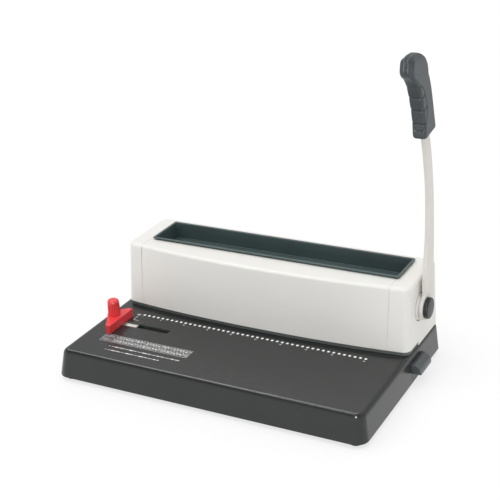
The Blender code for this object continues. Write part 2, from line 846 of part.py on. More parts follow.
def make_spring(lever_pivot):
    points = spring_path()
    curve = bpy.data.curves.new("return_spring", "CURVE")
    curve.dimensions = "3D"
    curve.bevel_depth = spring_wire / 2
    curve.bevel_resolution = 1
    curve.use_fill_caps = True
    spline = curve.splines.new("POLY")
    spline.points.add(len(points) - 1)
    for point, place in zip(spline.points, points):
        point.co = (*place, 1)
    spring = mesh_from(add_object("return_spring", curve))
    finish(spring, "steel", smooth=True)
    print("return spring: least gap to itself (m):",
          round(least_self_gap(points, spring_points_per_curl - 2), 5))
    collar_start = frame_inner - collar_inset - collar_length
    collar = turned_piece("spring_collar", ring_profile(shaft_radius + fit_gap, collar_radius,
                          collar_start, collar_start + collar_length),
                          (0, shaft_y, shaft_z), "x", closed=True)
    finish(collar, "dark_steel", lever_pivot, smooth=True)


def housing_profile(inset, low_front, low_rear):
    # Section of the housing in the YZ plane, its front leaning back, as one closed band
    lean = housing_front_lean / housing_height
    radius = housing_edge_radius - inset
    top = housing_top - inset
    front_low = housing_front + inset + lean * (low_front - base_top)
    front_top = housing_front + inset + housing_front_lean
    rear_low = housing_rear - inset
    rear_top = housing_rear - inset - housing_rear_lean
    front_arc = arc_points((front_top + radius, top - radius), radius, 180, 90, 4)
    rear_arc = arc_points((rear_top - radius, top - radius), radius, 90, 0, 4)
    return [(front_low, low_front)] + front_arc + rear_arc + [(rear_low, low_rear)]


def tray_opening():
    front = housing_front + housing_front_lean + housing_depth * tray_setback_share + tray_flange_width
    rear = front + housing_depth * tray_width_share - 2 * tray_flange_width
    half = housing_half - tray_end_margin - tray_flange_width
    return half, front, rear


def make_housing_cover():
    low_rear = base_top + fit_gap
    outer = housing_profile(0.0, throat_top, low_rear)
    inner = housing_profile(housing_wall, throat_top, low_rear)
    half = seam - fit_gap / 2
    cover = flat_piece("housing_cover", outer + inner[::-1], [], (-half, half), "x")
    tray_half, front, rear = tray_opening()
    opening = block("tray_cutter", (-tray_half, tray_half), (front, rear),
                    (housing_top - housing_wall - cut_overrun, housing_top + cut_overrun), cutters)
    cut(cover, opening)
    finish(cover, "housing_white", smooth=True)


def make_end_cap(side):
    name = "right_end_cap" if side > 0 else "left_end_cap"
    near = side * (seam + fit_gap / 2)
    far_low = side * housing_half
    far_top = side * (housing_half - housing_side_lean)
    low = base_top + fit_gap
    x_low = (near, far_low) if side > 0 else (far_low, near)
    x_top = (near, far_top) if side > 0 else (far_top, near)
    cap = block(name, x_low, (housing_front, housing_rear), (low, housing_top), top_x=x_top,
                top_y=(housing_front + housing_front_lean, housing_rear - housing_rear_lean))
    drop_faces(cap, lambda face: all(abs(v.co.z - low) < weld_distance for v in face.verts)
               or all(abs(v.co.x - near) < weld_distance for v in face.verts))

    def radius_of(edge):
        on_seam = all(abs(vert.co.x - near) < weld_distance for vert in edge.verts)
        if on_seam:
            return 0.0
        if upright(edge):
            return housing_corner_radius
        return housing_edge_radius if at_height(edge, housing_top) else 0.0

    round_edges(cap, radius_of, housing_corner_radius, 4)
    thicken(cap, housing_wall)
    reach = housing_half + cut_overrun
    throat = block(name + "_throat_cutter", (-reach, reach),
                   (housing_front - cut_overrun, throat_rear),
                   (base_top - cut_overrun, throat_top), cutters)
    cut(cap, throat)
    if side > 0:
        hub = turned_piece("hub_cutter", post_profile(boss_opening_radius, seam + housing_wall, reach),
                           (0, shaft_y, shaft_z), "x", steps=fine_steps, collection=cutters)
        cut(cap, hub)
    finish(cap, "housing_white", smooth=True)


def make_tray():
    half, front, rear = tray_opening()
    half -= fit_gap
    front += fit_gap
    rear -= fit_gap
    top = housing_top + fit_gap
    floor = top - housing_height * tray_recess_share
    tray = block("top_tray", (-half + tray_draft, half - tray_draft), (front + tray_draft, rear - tray_draft),
                 (floor, top), top_x=(-half, half), top_y=(front, rear))
    work = bmesh.new()
    work.from_mesh(tray.data)
    lid = [face for face in work.faces if all(abs(v.co.z - top) < weld_distance for v in face.verts)]
    rim = [edge for edge in lid[0].edges]
    bmesh.ops.delete(work, geom=lid, context="FACES_ONLY")
    grown = bmesh.ops.extrude_edge_only(work, edges=rim)
    flange = tray_flange_width + fit_gap
    for vert in [item for item in grown["geom"] if isinstance(item, bmesh.types.BMVert)]:
        vert.co.x += flange if vert.co.x > 0 else -flange
        vert.co.y += flange if vert.co.y > (front + rear) / 2 else -flange
    bmesh.ops.recalc_face_normals(work, faces=work.faces)
    bottom = min(work.faces, key=lambda face: face.calc_center_median().z)
    if bottom.normal.z > 0:
        bmesh.ops.reverse_faces(work, faces=work.faces)
    work.to_mesh(tray.data)
    work.free()
    thicken(tray, tray_wall)
    return tray


def skirt_face(height):
    # Where the base's drafted right-hand skirt is at a height
    return base_right - base_right_draft * (height - base_floor_gap) / base_skirt


def make_drawer(drawer_slide):
    tub = block("chip_drawer", (drawer_left, drawer_right), (drawer_front_y, drawer_rear_y),
                (drawer_bottom, drawer_top))
    drop_faces(tub, lambda face: all(abs(v.co.z - drawer_top) < weld_distance for v in face.verts))
    thicken(tub, drawer_wall)
    finish(tub, "tray_dark", drawer_slide)
    panel_back = drawer_right + fit_gap
    panel = block("drawer_front", (panel_back, skirt_face(drawer_bottom)), (drawer_front_y, drawer_rear_y),
                  (drawer_bottom, drawer_top), top_x=(panel_back, skirt_face(drawer_top)))
    finish(panel, "base_black", drawer_slide)
    middle = (drawer_front_y + drawer_rear_y) / 2
    ends = (middle - pull_length / 2, middle + pull_length / 2)
    high = drawer_bottom + pull_top_rise
    low = high - pull_height
    flange_outer = skirt_face(low) + fit_gap + pull_flange
    reach = skirt_face(low) + fit_gap + pull_reach
    radius = reach - flange_outer
    arc = arc_points((flange_outer, high - radius), radius, 90, 0, 5)
    outline = [(skirt_face(high) + fit_gap, high)] + arc + [(reach, low), (skirt_face(low) + fit_gap, low)]
    pull = flat_piece("drawer_pull", outline, [], ends, "y")
    hollow_arc = arc_points((flange_outer, high - radius), radius - pull_wall, 90, 0, 4)
    hollow = hollow_arc + [(reach - pull_wall, low - cut_overrun), (flange_outer, low - cut_overrun)]
    scoop = flat_piece("scoop_cutter", hollow, [], (ends[0] + pull_wall, ends[1] - pull_wall), "y", cutters)
    cut(pull, scoop)
    finish(pull, "grip_grey", drawer_slide, smooth=True)
    for row, start in (("front", mouth_front - rail_width), ("rear", mouth_rear)):
        rail = block("drawer_rail_" + row, (drawer_left, frame_inner - fit_gap), (start, start + rail_width),
                     (drawer_bottom, drawer_bottom + rail_height))
        finish(rail, "steel")


def lever_sides(extra, first=0):
    # Front and rear edge of the bar, each a smooth line, widened by extra on each side
    spine = [(lever_height * rise, lever_height * back, lever_width * width / 2) for rise, back, width
             in zip(spine_rise_shares, spine_back_shares, spine_width_shares)][first:]
    spine = smooth_through(spine, 3)
    front = [(shaft_y + back - half - extra, shaft_z + rise) for rise, back, half in spine]
    rear = [(shaft_y + back + half + extra, shaft_z + rise) for rise, back, half in spine]
    return front, rear


def lever_outline():
    front, rear = lever_sides(0.0)
    heel = (rear[0][0] - lever_eye_radius, rear[0][1] - lever_eye_radius / 4)
    bottom = arc_points(heel, lever_eye_radius, 0, -75, 5)
    eye = arc_points((shaft_y, shaft_z), lever_eye_radius, 270, 145, 8)
    return bottom + eye + front[2:] + rear[::-1]


def grip_foot():
    # Where the bar enters the grip
    front, rear = lever_sides(0.0)
    height = shaft_z + lever_height - grip_length
    pair = min(zip(front, rear), key=lambda sides: abs(sides[0][1] - height))
    return (pair[0][0] + pair[1][0]) / 2, height


def make_lever(lever_pivot):
    middle = (lever_inner + lever_outer) / 2
    bore = circle_points((shaft_y, shaft_z), shaft_radius + fit_gap, round_steps)
    bar = flat_piece("lever_bar", lever_outline(), [bore], (lever_inner, lever_outer), "x")
    finish(bar, "lever_white", lever_pivot, smooth=True)
    foot_y, foot_z = grip_foot()
    outline = smooth_through([(foot_y + grip_depth * u, foot_z + grip_length * v) for u, v in grip_shares],
                             2, closed=True)
    grip = flat_piece("lever_grip", outline, [], (middle - grip_thickness / 2, middle + grip_thickness / 2),
                      "x", rounding=grip_rounding)
    front, rear = lever_sides(grip_clearance, first=7)
    top = max(front[-1][1], rear[-1][1]) + grip_clearance
    pocket_outline = front + [(front[-1][0], top), (rear[-1][0], top)] + rear[::-1]
    pocket = flat_piece("pocket_cutter", pocket_outline, [],
                        (lever_inner - grip_clearance, lever_outer + grip_clearance), "x", cutters)
    cut(grip, pocket)
    finish(grip, "grip_grey", lever_pivot, smooth=True)


def make_hub(lever_pivot):
    inner = shaft_radius + fit_gap
    start = hub_face - housing_wall - boss_seat
    face = hub_face + boss_proud
    mid_radius = boss_radius - boss_step
    profile = [(mid_radius - boss_step, face), (mid_radius - boss_step, face - boss_proud / 3),
               (mid_radius, face - boss_proud / 3), (mid_radius, face - 2 * boss_proud / 3),
               (boss_radius, face - 2 * boss_proud / 3), (boss_radius, start), (inner, start), (inner, face)]
    boss = turned_piece("lever_boss", profile, (0, shaft_y, shaft_z), "x", closed=True, steps=fine_steps)
    finish(boss, "housing_white", lever_pivot, smooth=True)
    cap_start = lever_outer + fit_gap
    cap_end = cap_start + cap_height
    bowl = cap_radius - cap_wall
    dome = arc_points((cap_radius - cap_rounding, cap_end - cap_rounding), cap_rounding, 90, 0, 3)
    profile = [(0, cap_end)] + dome + [(cap_radius, cap_start), (bowl, cap_start), (bowl, cap_end - cap_wall),
                                       (0, cap_end - cap_wall)]
    cap = turned_piece("hub_cap", profile, (0, shaft_y, shaft_z), "x", steps=fine_steps)
    finish(cap, "grip_grey", lever_pivot, smooth=True)
    head = cap_start
    profile = [(0, head + lever_screw_head), (lever_screw_head_radius, head + lever_screw_head),
               (lever_screw_head_radius, head), (0, head)]
    screw = turned_piece("lever_screw", profile, (0, shaft_y, shaft_z), "x", steps=small_steps)
    finish(screw, "steel", lever_pivot)


def guide_outline():
    front = slot_y - guide_stop_length * guide_stop_front_share
    rear = front + guide_stop_length
    apex = arc_points((knob_x, slot_y), guide_apex_radius, 120, 232, 6)
    return [(stop_face_x, front), (stop_face_x, rear), (stop_face_x - guide_tip_width, rear)] + apex + [
        (stop_face_x - guide_tip_width, front)]


def make_guide(guide_slide_empty, knob_empty):
    hole = circle_points((knob_x, slot_y), bolt_radius + fit_gap, round_steps)
    plate = flat_piece("edge_guide", guide_outline(), [hole], (guide_bottom, guide_top), "z")
    bevel = plate.modifiers.new("Rounds", "BEVEL")
    bevel.width = fit_gap * 3
    bevel.segments = 2
    bevel.angle_limit = math.radians(50)
    finish(plate, "guide_red", guide_slide_empty, smooth=True)

    rib_half = slot_width / 2 - slide_clearance
    flange_half = slot_width / 2 + slide_flange
    rib_top = guide_bottom - 2 * fit_gap
    flange_top = deck_underside - fit_gap
    slide_span = (slide_left, slide_right)
    rib = flat_piece("guide_slide", rectangle(slide_span, (slot_y - rib_half, slot_y + rib_half)),
                     [hole], (flange_top - slide_flange_height / 2, rib_top), "z")
    flange = flat_piece("slide_flange_cutter",
                        rectangle(slide_span, (slot_y - flange_half, slot_y + flange_half)),
                        [hole], (flange_top - slide_flange_height, flange_top), "z", cutters)
    cut(rib, flange, "UNION")
    finish(rib, "slide_white", guide_slide_empty)

    head_top = flange_top - slide_flange_height - fit_gap
    bolt_end = guide_top + bolt_grip
    profile = [(0, bolt_end), (bolt_radius, bolt_end), (bolt_radius, head_top), (bolt_head_radius, head_top),
               (bolt_head_radius, head_top - bolt_head), (0, head_top - bolt_head)]
    bolt = turned_piece("guide_bolt", profile, (knob_x, slot_y, 0), steps=small_steps)
    finish(bolt, "steel", guide_slide_empty)

    low = guide_top + fit_gap
    high = low + knob_height
    dome = arc_points((knob_top_radius - knob_rounding, high - knob_rounding), knob_rounding, 90, 0, 3)
    bore = bolt_radius + fit_gap
    profile = [(0, high)] + dome + [(knob_base_radius, low), (bore, low),
                                    (bore, low + bolt_grip), (0, low + bolt_grip)]
    knob = turned_piece("guide_knob", profile, (knob_x, slot_y, 0), steps=knob_sides)
    for vert in knob.data.vertices:
        column = round(math.atan2(vert.co.y, vert.co.x) / (2 * math.pi) * knob_sides)
        across = math.hypot(vert.co.x, vert.co.y)
        if column % 2 and across > knob_top_radius - knob_flute and vert.co.z < high - knob_rounding / 2:
            scale = (across - knob_flute) / across
            vert.co.x *= scale
            vert.co.y *= scale
    finish(knob, "guide_red", knob_empty)


def make_cover_screws():
    x = (seam + housing_half) / 2
    for side, place in (("left", -x), ("right", x)):
        for row, share in cover_screw_rise_shares.items():
            height = base_top + housing_height * share
            outline = circle_points((place, height), cover_screw_radius, small_steps)
            start = housing_rear - housing_rear_lean * share + fit_gap
            screw = flat_piece("cover_screw_%s_%s" % (side, row), outline, [],
                               (start, start + cover_screw_head), "y")
            finish(screw, "dark_steel", smooth=True)


def centre_footprint():
    # The housing's middle was at x = 0 so far; the origin goes to the middle of the whole length
    for item in list(parts.objects) + list(cutters.objects):
        if item.parent is None:
            item.location.x += middle_shift


def make_machine():
    lever_pivot = pivot("lever_pivot", (0, shaft_y, shaft_z))
    carriage = pivot("carriage_slide", (0, punch_y, bar_bottom))
    guide_slide_empty = pivot("guide_run", (knob_x, slot_y, guide_bottom))
    knob_empty = pivot("knob_axis", (knob_x, slot_y, guide_top))
    drawer_slide = pivot("drawer_run", (drawer_right, punch_y, drawer_bottom))
    make_base_shell()
    make_base_plate()
    make_feet()
    make_base_screws()
    make_tooling()
    make_frames()
    make_shaft(lever_pivot)
    make_cams(lever_pivot)
    make_carriage(carriage)
    make_spring(lever_pivot)
    make_housing_cover()
    make_end_cap(-1)
    make_end_cap(1)
    finish(make_tray(), "tray_dark")
    make_drawer(drawer_slide)
    make_lever(lever_pivot)
    make_hub(lever_pivot)
    make_guide(guide_slide_empty, knob_empty)
    make_cover_screws()
    centre_footprint()
    print("punch stroke (m):", round(punch_stroke, 5), "guide travel (m):", round(guide_travel, 5),
          "drawer travel (m):", round(drawer_travel, 5))
    print("pivot (m):", round(shaft_y, 5), round(shaft_z, 5),
          "knob (m):", round(knob_x + middle_shift, 5), round(slot_y, 5))


make_machine()
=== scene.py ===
import json
import math

import bmesh
import bpy
from mathutils import Matrix, Vector


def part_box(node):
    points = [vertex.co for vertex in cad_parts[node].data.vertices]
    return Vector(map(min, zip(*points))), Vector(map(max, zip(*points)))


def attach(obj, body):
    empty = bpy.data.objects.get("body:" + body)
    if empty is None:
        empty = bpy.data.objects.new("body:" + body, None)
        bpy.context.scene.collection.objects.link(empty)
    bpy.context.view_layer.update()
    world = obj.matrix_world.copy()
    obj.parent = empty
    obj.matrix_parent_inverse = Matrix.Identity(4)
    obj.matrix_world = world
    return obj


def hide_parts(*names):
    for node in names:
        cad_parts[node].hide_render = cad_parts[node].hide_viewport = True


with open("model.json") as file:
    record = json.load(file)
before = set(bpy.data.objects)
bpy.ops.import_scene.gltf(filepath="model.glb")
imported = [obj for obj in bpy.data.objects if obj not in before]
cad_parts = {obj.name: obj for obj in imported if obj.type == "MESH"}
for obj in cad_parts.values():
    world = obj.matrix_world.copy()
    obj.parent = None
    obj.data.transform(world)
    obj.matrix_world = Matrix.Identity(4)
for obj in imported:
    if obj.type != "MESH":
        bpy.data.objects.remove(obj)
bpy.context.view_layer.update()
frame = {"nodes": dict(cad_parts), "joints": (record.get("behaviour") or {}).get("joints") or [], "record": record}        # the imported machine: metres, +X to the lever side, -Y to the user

print("frame loaded")


# Shader building: sums on values add Math nodes, and one method adds any other node
class Wire:
    def __init__(self, graph, socket):
        self.graph = graph
        self.socket = socket

    def calc(self, operation, first, second=0.0):
        return self.graph.add("ShaderNodeMath", {"operation": operation}, {0: first, 1: second})

    def __add__(self, other):
        return self.calc("ADD", self, other)

    def __sub__(self, other):
        return self.calc("SUBTRACT", self, other)

    def __mul__(self, other):
        return self.calc("MULTIPLY", self, other)

    def __rsub__(self, other):
        return self.calc("SUBTRACT", other, self)

    __radd__ = __add__
    __rmul__ = __mul__

    def between(self, low, high):  # 0 below low, 1 above high, smooth between
        settings = {"interpolation_type": "SMOOTHSTEP"}
        return self.graph.add("ShaderNodeMapRange", settings, {0: self, 1: low, 2: high})


class Graph:
    def __init__(self, tree):
        self.nodes = tree.nodes
        self.links = tree.links

    def plug(self, socket, value):
        if isinstance(value, Wire):
            self.links.new(value.socket, socket)
        else:
            socket.default_value = value

    def add(self, kind, settings=None, sockets=None, out=0):
        node = self.nodes.new(kind)
        for key, value in (settings or {}).items():
            setattr(node, key, value)
        for key, value in (sockets or {}).items():
            self.plug(node.inputs[key], value)
        return Wire(self, node.outputs[out])


class Paint(Graph):
    def __init__(self, name, colour, roughness, metallic=0.0, **sockets):
        self.material = bpy.data.materials.new(name)
        self.material.use_nodes = True
        super().__init__(self.material.node_tree)
        self.shader = self.nodes["Principled BSDF"]
        self.set("Base Color", (*colour, 1.0))
        self.set("Roughness", roughness)
        self.set("Metallic", metallic)
        for key, value in sockets.items():
            self.set(key.replace("_", " "), value)

    def set(self, key, value):
        self.plug(self.shader.inputs[key], value)

    def place(self, stretch=(1.0, 1.0, 1.0)):  # position on the machine, in metres
        spot = self.add("ShaderNodeTexCoord", out=3)
        if tuple(stretch) == (1.0, 1.0, 1.0):
            return spot
        return self.add("ShaderNodeVectorMath", {"operation": "MULTIPLY"}, {0: spot, 1: stretch})

    def noise(self, perMetre, detail=2.0, stretch=(1.0, 1.0, 1.0), rough=0.5):
        sockets = {"Vector": self.place(stretch), "Scale": perMetre, "Detail": detail, "Roughness": rough}
        return self.add("ShaderNodeTexNoise", None, sockets)

    def cells(self, perMetre, stretch=(1.0, 1.0, 1.0)):
        return self.add("ShaderNodeTexVoronoi", None, {"Vector": self.place(stretch), "Scale": perMetre})

    def mixed(self, factor, first, second):  # the first is a colour or another mix
        under = first if isinstance(first, Wire) else (*first, 1.0)
        colours = {0: factor, 6: under, 7: (*second, 1.0)}
        return self.add("ShaderNodeMix", {"data_type": "RGBA"}, colours, out=2)

    def bump(self, height, depth, strength=1.0):
        sockets = {"Height": height, "Distance": depth, "Strength": strength}
        self.set("Normal", self.add("ShaderNodeBump", None, sockets))


def shade(colour, share):
    return tuple(min(1.0, channel * share) for channel in colour)


moulding = {"patchesPerMetre": 14.0, "hazePerMetre": 38.0, "specksPerMetre": 900.0, "pitScale": 0.7}


def mouldedPaint(name, look):
    # Injection-moulded plastic: spark-eroded grain, faint flow patches, handling haze and fine dust
    colour = look["colour"]
    roughness = look["roughness"]
    paint = Paint(name, colour, roughness, Specular_IOR_Level=look.get("specular", 0.5))
    grain = paint.noise(look["grainPerMetre"], 3.0)
    pits = paint.cells(look["grainPerMetre"] * moulding["pitScale"])
    patches = paint.noise(moulding["patchesPerMetre"], 3.0)
    haze = paint.noise(moulding["hazePerMetre"], 5.0, rough=0.62)
    patch = look["patch"]
    tone = paint.mixed(patches.between(0.3, 0.7), shade(colour, 1 - patch), shade(colour, 1 + patch))
    specks = paint.cells(moulding["specksPerMetre"])
    speckMask = 1 - specks.between(0.04, 0.10)
    speckColour = look.get("speckColour", shade(colour, 1.6))
    paint.set("Base Color", paint.mixed(speckMask * look.get("speck", 0.05), tone, speckColour))
    paint.set("Roughness", haze * look["haze"] + grain * 0.04 + (roughness - look["haze"] / 2 - 0.02))
    paint.bump(grain * 0.6 + pits * 0.4, look["grainDepth"], look.get("grainStrength", 0.5))
    return paint.material


def steelPaint(name, look):
    # Rolled or turned steel: fine drawn lines, cloudy tone and small dark specks
    colour = look["colour"]
    paint = Paint(name, colour, look["roughness"], look["metallic"])
    lines = paint.noise(look["linesPerMetre"], 3.0, look["stretch"])
    cloud = paint.noise(45.0, 4.0)
    specks = paint.cells(500.0)
    tone = paint.mixed(cloud.between(0.25, 0.75), shade(colour, 0.82), shade(colour, 1.12))
    specked = (1 - specks.between(0.05, 0.14)) * 0.35
    paint.set("Base Color", paint.mixed(specked, tone, shade(colour, 0.45)))
    paint.set("Roughness", lines * 0.14 + cloud * 0.10 + (look["roughness"] - 0.12))
    paint.bump(lines, 0.00004, 0.5)
    return paint.material


def coatedPaint(name, look):
    # Powder coat on sheet steel: a low orange-peel skin with a soft gloss
    colour = look["colour"]
    paint = Paint(name, colour, look["roughness"], Coat_Roughness=0.2)
    peel = paint.noise(620.0, 2.0)
    fine = paint.noise(2600.0, 2.0)
    cloud = paint.noise(18.0, 3.0)
    paint.set("Base Color", paint.mixed(cloud.between(0.3, 0.7), shade(colour, 0.975), shade(colour, 1.02)))
    paint.set("Roughness", cloud * 0.10 + fine * 0.05 + (look["roughness"] - 0.075))
    paint.bump(peel * 0.7 + fine * 0.3, look["peelDepth"], 0.5)
    return paint.material


def rubberPaint(name, look):
    # Soft grip compound: dull, finely pebbled, paler where it is rubbed
    colour = look["colour"]
    paint = Paint(name, colour, look["roughness"])
    pebble = paint.cells(look["pebblePerMetre"])
    fine = paint.noise(2400.0, 3.0)
    worn = paint.noise(60.0, 4.0)
    tone = paint.mixed(worn.between(0.35, 0.7), shade(colour, 0.90), shade(colour, 1.12))
    paint.set("Base Color", tone)
    paint.set("Roughness", worn * 0.14 + fine * 0.06 + (look["roughness"] - 0.10))
    paint.bump(pebble * 0.5 + fine * 0.5, look["pebbleDepth"], 0.6)
    return paint.material


def inkPaint(name, colour):
    # Screen-printed ink: slightly uneven cover over the plastic's grain
    paint = Paint(name, colour, 0.5)
    cover = paint.noise(900.0, 4.0)
    paint.set("Base Color", paint.mixed(cover.between(0.22, 0.5), shade(colour, 0.70), colour))
    paint.set("Roughness", cover * 0.2 + 0.4)
    paint.bump(paint.noise(2600.0, 2.0), 0.00003, 0.4)
    return paint.material


finishes = {
    "casing": {"colour": (0.0215, 0.0235, 0.0230), "roughness": 0.25, "specular": 0.44,
               "grainPerMetre": 2300.0, "grainDepth": 0.00006, "grainStrength": 0.35, "patch": 0.06,
               "haze": 0.10, "speck": 0.10, "speckColour": (0.06, 0.06, 0.058)},
    # bead: pale grey on the front bead, a painted highlight line on the black casing
    "bead": {"colour": (0.300, 0.300, 0.280), "roughness": 0.30, "grainPerMetre": 2300.0,
             "grainDepth": 0.00003, "patch": 0.06, "haze": 0.08},
    # liner: paler than the casing, painted light standing in for light reaching into the shade of the slot
    # and the throat
    "liner": {"colour": (0.0900, 0.1060, 0.0980), "roughness": 0.55, "grainPerMetre": 1700.0,
              "grainDepth": 0.00010, "patch": 0.06, "haze": 0.10},
    "housing": {"colour": (0.820, 0.811, 0.775), "roughness": 0.44, "grainPerMetre": 1900.0,
                "grainDepth": 0.00012, "grainStrength": 0.45, "patch": 0.012, "haze": 0.10, "speck": 0.10,
                "speckColour": (0.62, 0.60, 0.56)},
    "tray": {"colour": (0.0570, 0.0870, 0.0860), "roughness": 0.38, "grainPerMetre": 1800.0,
             "grainDepth": 0.00010, "patch": 0.07, "haze": 0.12},
    "red": {"colour": (0.800, 0.052, 0.060), "roughness": 0.34, "grainPerMetre": 2100.0,
            "grainDepth": 0.00007, "patch": 0.03, "haze": 0.10, "speck": 0.04},
    "white": {"colour": (0.78, 0.77, 0.73), "roughness": 0.36, "grainPerMetre": 2100.0,
              "grainDepth": 0.00007, "patch": 0.02, "haze": 0.10},
    "cap": {"colour": (0.0240, 0.0280, 0.0290), "roughness": 0.36, "specular": 0.32,
            "grainPerMetre": 2000.0, "grainDepth": 0.00008, "patch": 0.06, "haze": 0.12},
    "pull": {"colour": (0.0520, 0.0630, 0.0680), "roughness": 0.36, "specular": 0.8,
             "grainPerMetre": 2000.0, "grainDepth": 0.00008, "patch": 0.06, "haze": 0.12},
    "grip": {"colour": (0.0410, 0.0520, 0.0580), "roughness": 0.44, "pebblePerMetre": 1500.0,
             "pebbleDepth": 0.00010},
    "foot": {"colour": (0.0200, 0.0210, 0.0210), "roughness": 0.70, "pebblePerMetre": 1100.0,
             "pebbleDepth": 0.00014},
    "lever": {"colour": (0.722, 0.692, 0.646), "roughness": 0.36, "peelDepth": 0.00008},
    "bright": {"colour": (0.60, 0.60, 0.59), "roughness": 0.30, "metallic": 1.0, "linesPerMetre": 1500.0,
               "stretch": (0.03, 1.0, 1.0)},
    "oxide": {"colour": (0.10, 0.10, 0.105), "roughness": 0.42, "metallic": 0.8, "linesPerMetre": 900.0,
              "stretch": (0.2, 1.0, 1.0)},
    "bronze": {"colour": (0.55, 0.36, 0.19), "roughness": 0.36, "metallic": 1.0, "linesPerMetre": 1400.0,
               "stretch": (1.0, 0.2, 0.2)},
    "ink": (0.86, 0.87, 0.86),
    "greyInk": (0.42, 0.45, 0.44),
}
paints = {name: mouldedPaint(name + "Plastic", finishes[name])
          for name in ("casing", "bead", "liner", "housing", "tray", "red", "white", "cap", "pull")}
paints["grip"] = rubberPaint("gripRubber", finishes["grip"])
paints["foot"] = rubberPaint("footRubber", finishes["foot"])
paints["lever"] = coatedPaint("leverCoat", finishes["lever"])
for steel in ("bright", "oxide", "bronze"):
    paints[steel] = steelPaint(steel + "Metal", finishes[steel])
paints["ink"] = inkPaint("scaleInk", finishes["ink"])
paints["greyInk"] = inkPaint("markerInk", finishes["greyInk"])
print("paints mixed")

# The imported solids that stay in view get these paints, by their record slot
slotPaints = {
    "base_black": "casing", "housing_white": "housing", "lever_white": "lever", "tray_dark": "tray",
    "grip_grey": "pull", "guide_red": "red", "slide_white": "white", "rubber": "foot",
    "steel": "bright", "dark_steel": "oxide", "bronze": "bronze",
}
slotOfNode = {entry["node"]: entry["material_slot"] for entry in frame["record"]["subparts"]}
for nodeName, node in frame["nodes"].items():
    paint = paints[slotPaints[slotOfNode[nodeName]]]
    if not node.material_slots:
        node.data.materials.append(paint)
    for materialSlot in node.material_slots:
        materialSlot.material = paint


# Mesh building
weldDistance = 0.000004
sliverLength = 0.000002


def meshObject(name, work):
    mesh = bpy.data.meshes.new(name)
    work.to_mesh(mesh)
    work.free()
    item = bpy.data.objects.new(name, mesh)
    bpy.context.scene.collection.objects.link(item)
    return item


def settle(item, name=None):
    # The evaluated shape as a plain mesh in the machine's own frame, its loose caps welded
    bpy.context.view_layer.update()
    graph = bpy.context.evaluated_depsgraph_get()
    mesh = bpy.data.meshes.new_from_object(item.evaluated_get(graph))
    mesh.transform(item.matrix_world)
    work = bmesh.new()
    work.from_mesh(mesh)
    bmesh.ops.remove_doubles(work, verts=work.verts, dist=weldDistance)
    bpy.data.meshes.remove(mesh)
    name = name or item.name
    bpy.data.objects.remove(item, do_unlink=True)
    return meshObject(name, work)


def loft(name, rings, capStart=True, capEnd=True, closed=True, flip=False):
    work = bmesh.new()
    rows = [[work.verts.new(point) for point in ring] for ring in rings]
    count = len(rings[0])
    for low, high in zip(rows, rows[1:]):
        for step in range(count if closed else count - 1):
            after = (step + 1) % count
            work.faces.new((low[step], low[after], high[after], high[step]))
    if capStart:
        work.faces.new(rows[0][::-1])
    if capEnd:
        work.faces.new(rows[-1])
    if capStart and capEnd and closed:
        bmesh.ops.recalc_face_normals(work, faces=work.faces)
    elif flip:
        bmesh.ops.reverse_faces(work, faces=work.faces)
    return meshObject(name, work)


def arc(centre, radius, startDeg, endDeg, steps):
    turns = [math.radians(startDeg + (endDeg - startDeg) * step / steps) for step in range(steps + 1)]
    return [(centre[0] + radius * math.cos(turn), centre[1] + radius * math.sin(turn)) for turn in turns]


def circle(centre, radius, count):
    return arc(centre, radius, 0, 360 - 360 / count, count - 1)


def roundedRing(corners, steps):
    # Quarter arcs joined up, each from (x, y, radius, first angle)
    return [point for x, y, radius, start in corners
            for point in arc((x, y), radius, start, start + 90, steps)]


def quarter(steps, first=0):
    # The turns of a quarter circle, in radians
    return [math.radians(90 * step / steps) for step in range(first, steps + 1)]


facings = {
    "z": Matrix(((1, 0, 0), (0, 1, 0), (0, 0, 1))),
    "x": Matrix(((0, 0, 1), (1, 0, 0), (0, 1, 0))),
    "y": Matrix(((1, 0, 0), (0, 0, -1), (0, 1, 0))),
}


def plate(name, outline, span, facing="z", holes=(), rounding=0.0, segments=3):
    # A flat outline with holes, thick along the facing axis, with rounded rims
    curve = bpy.data.curves.new(name, "CURVE")
    curve.dimensions = "2D"
    curve.fill_mode = "BOTH"
    curve.extrude = (span[1] - span[0]) / 2 - rounding
    curve.bevel_depth = rounding
    curve.bevel_resolution = segments
    curve.offset = -rounding
    for points in [outline, *holes]:
        spline = curve.splines.new("POLY")
        spline.points.add(len(points) - 1)
        for point, (u, v) in zip(spline.points, points):
            point.co = (u, v, 0, 1)
        spline.use_cyclic_u = True
    item = bpy.data.objects.new(name, curve)
    bpy.context.scene.collection.objects.link(item)
    shift = {"z": (0, 0, 1), "x": (1, 0, 0), "y": (0, 1, 0)}[facing]
    middle = Vector(shift) * ((span[0] + span[1]) / 2)
    item.matrix_world = Matrix.Translation(middle) @ facings[facing].to_4x4()
    return settle(item)


def turned(name, profile, place, facing="z", steps=48, flute=None):
    # A closed (radius, height) profile turned about the facing axis; flute may vary the radius around
    work = bmesh.new()
    rows = []
    for step in range(steps):
        turn = 2 * math.pi * step / steps
        row = []
        for radius, height in profile:
            reach = flute(radius, height, turn) if flute else radius
            row.append(work.verts.new((reach * math.cos(turn), reach * math.sin(turn), height)))
        rows.append(row)
    for low, high in zip(rows, rows[1:] + rows[:1]):
        for index in range(len(profile) - 1):
            work.faces.new((low[index], high[index], high[index + 1], low[index + 1]))
    bmesh.ops.remove_doubles(work, verts=work.verts, dist=weldDistance)
    bmesh.ops.dissolve_degenerate(work, edges=work.edges, dist=sliverLength)
    bmesh.ops.recalc_face_normals(work, faces=work.faces)
    turnTo = {"z": Matrix.Identity(4), "x": Matrix.Rotation(math.radians(90), 4, "Y"),
              "-z": Matrix.Rotation(math.radians(180), 4, "Y"),
              "y": Matrix.Rotation(math.radians(-90), 4, "X")}[facing]
    bmesh.ops.transform(work, matrix=Matrix.Translation(place) @ turnTo, verts=work.verts)
    return meshObject(name, work)


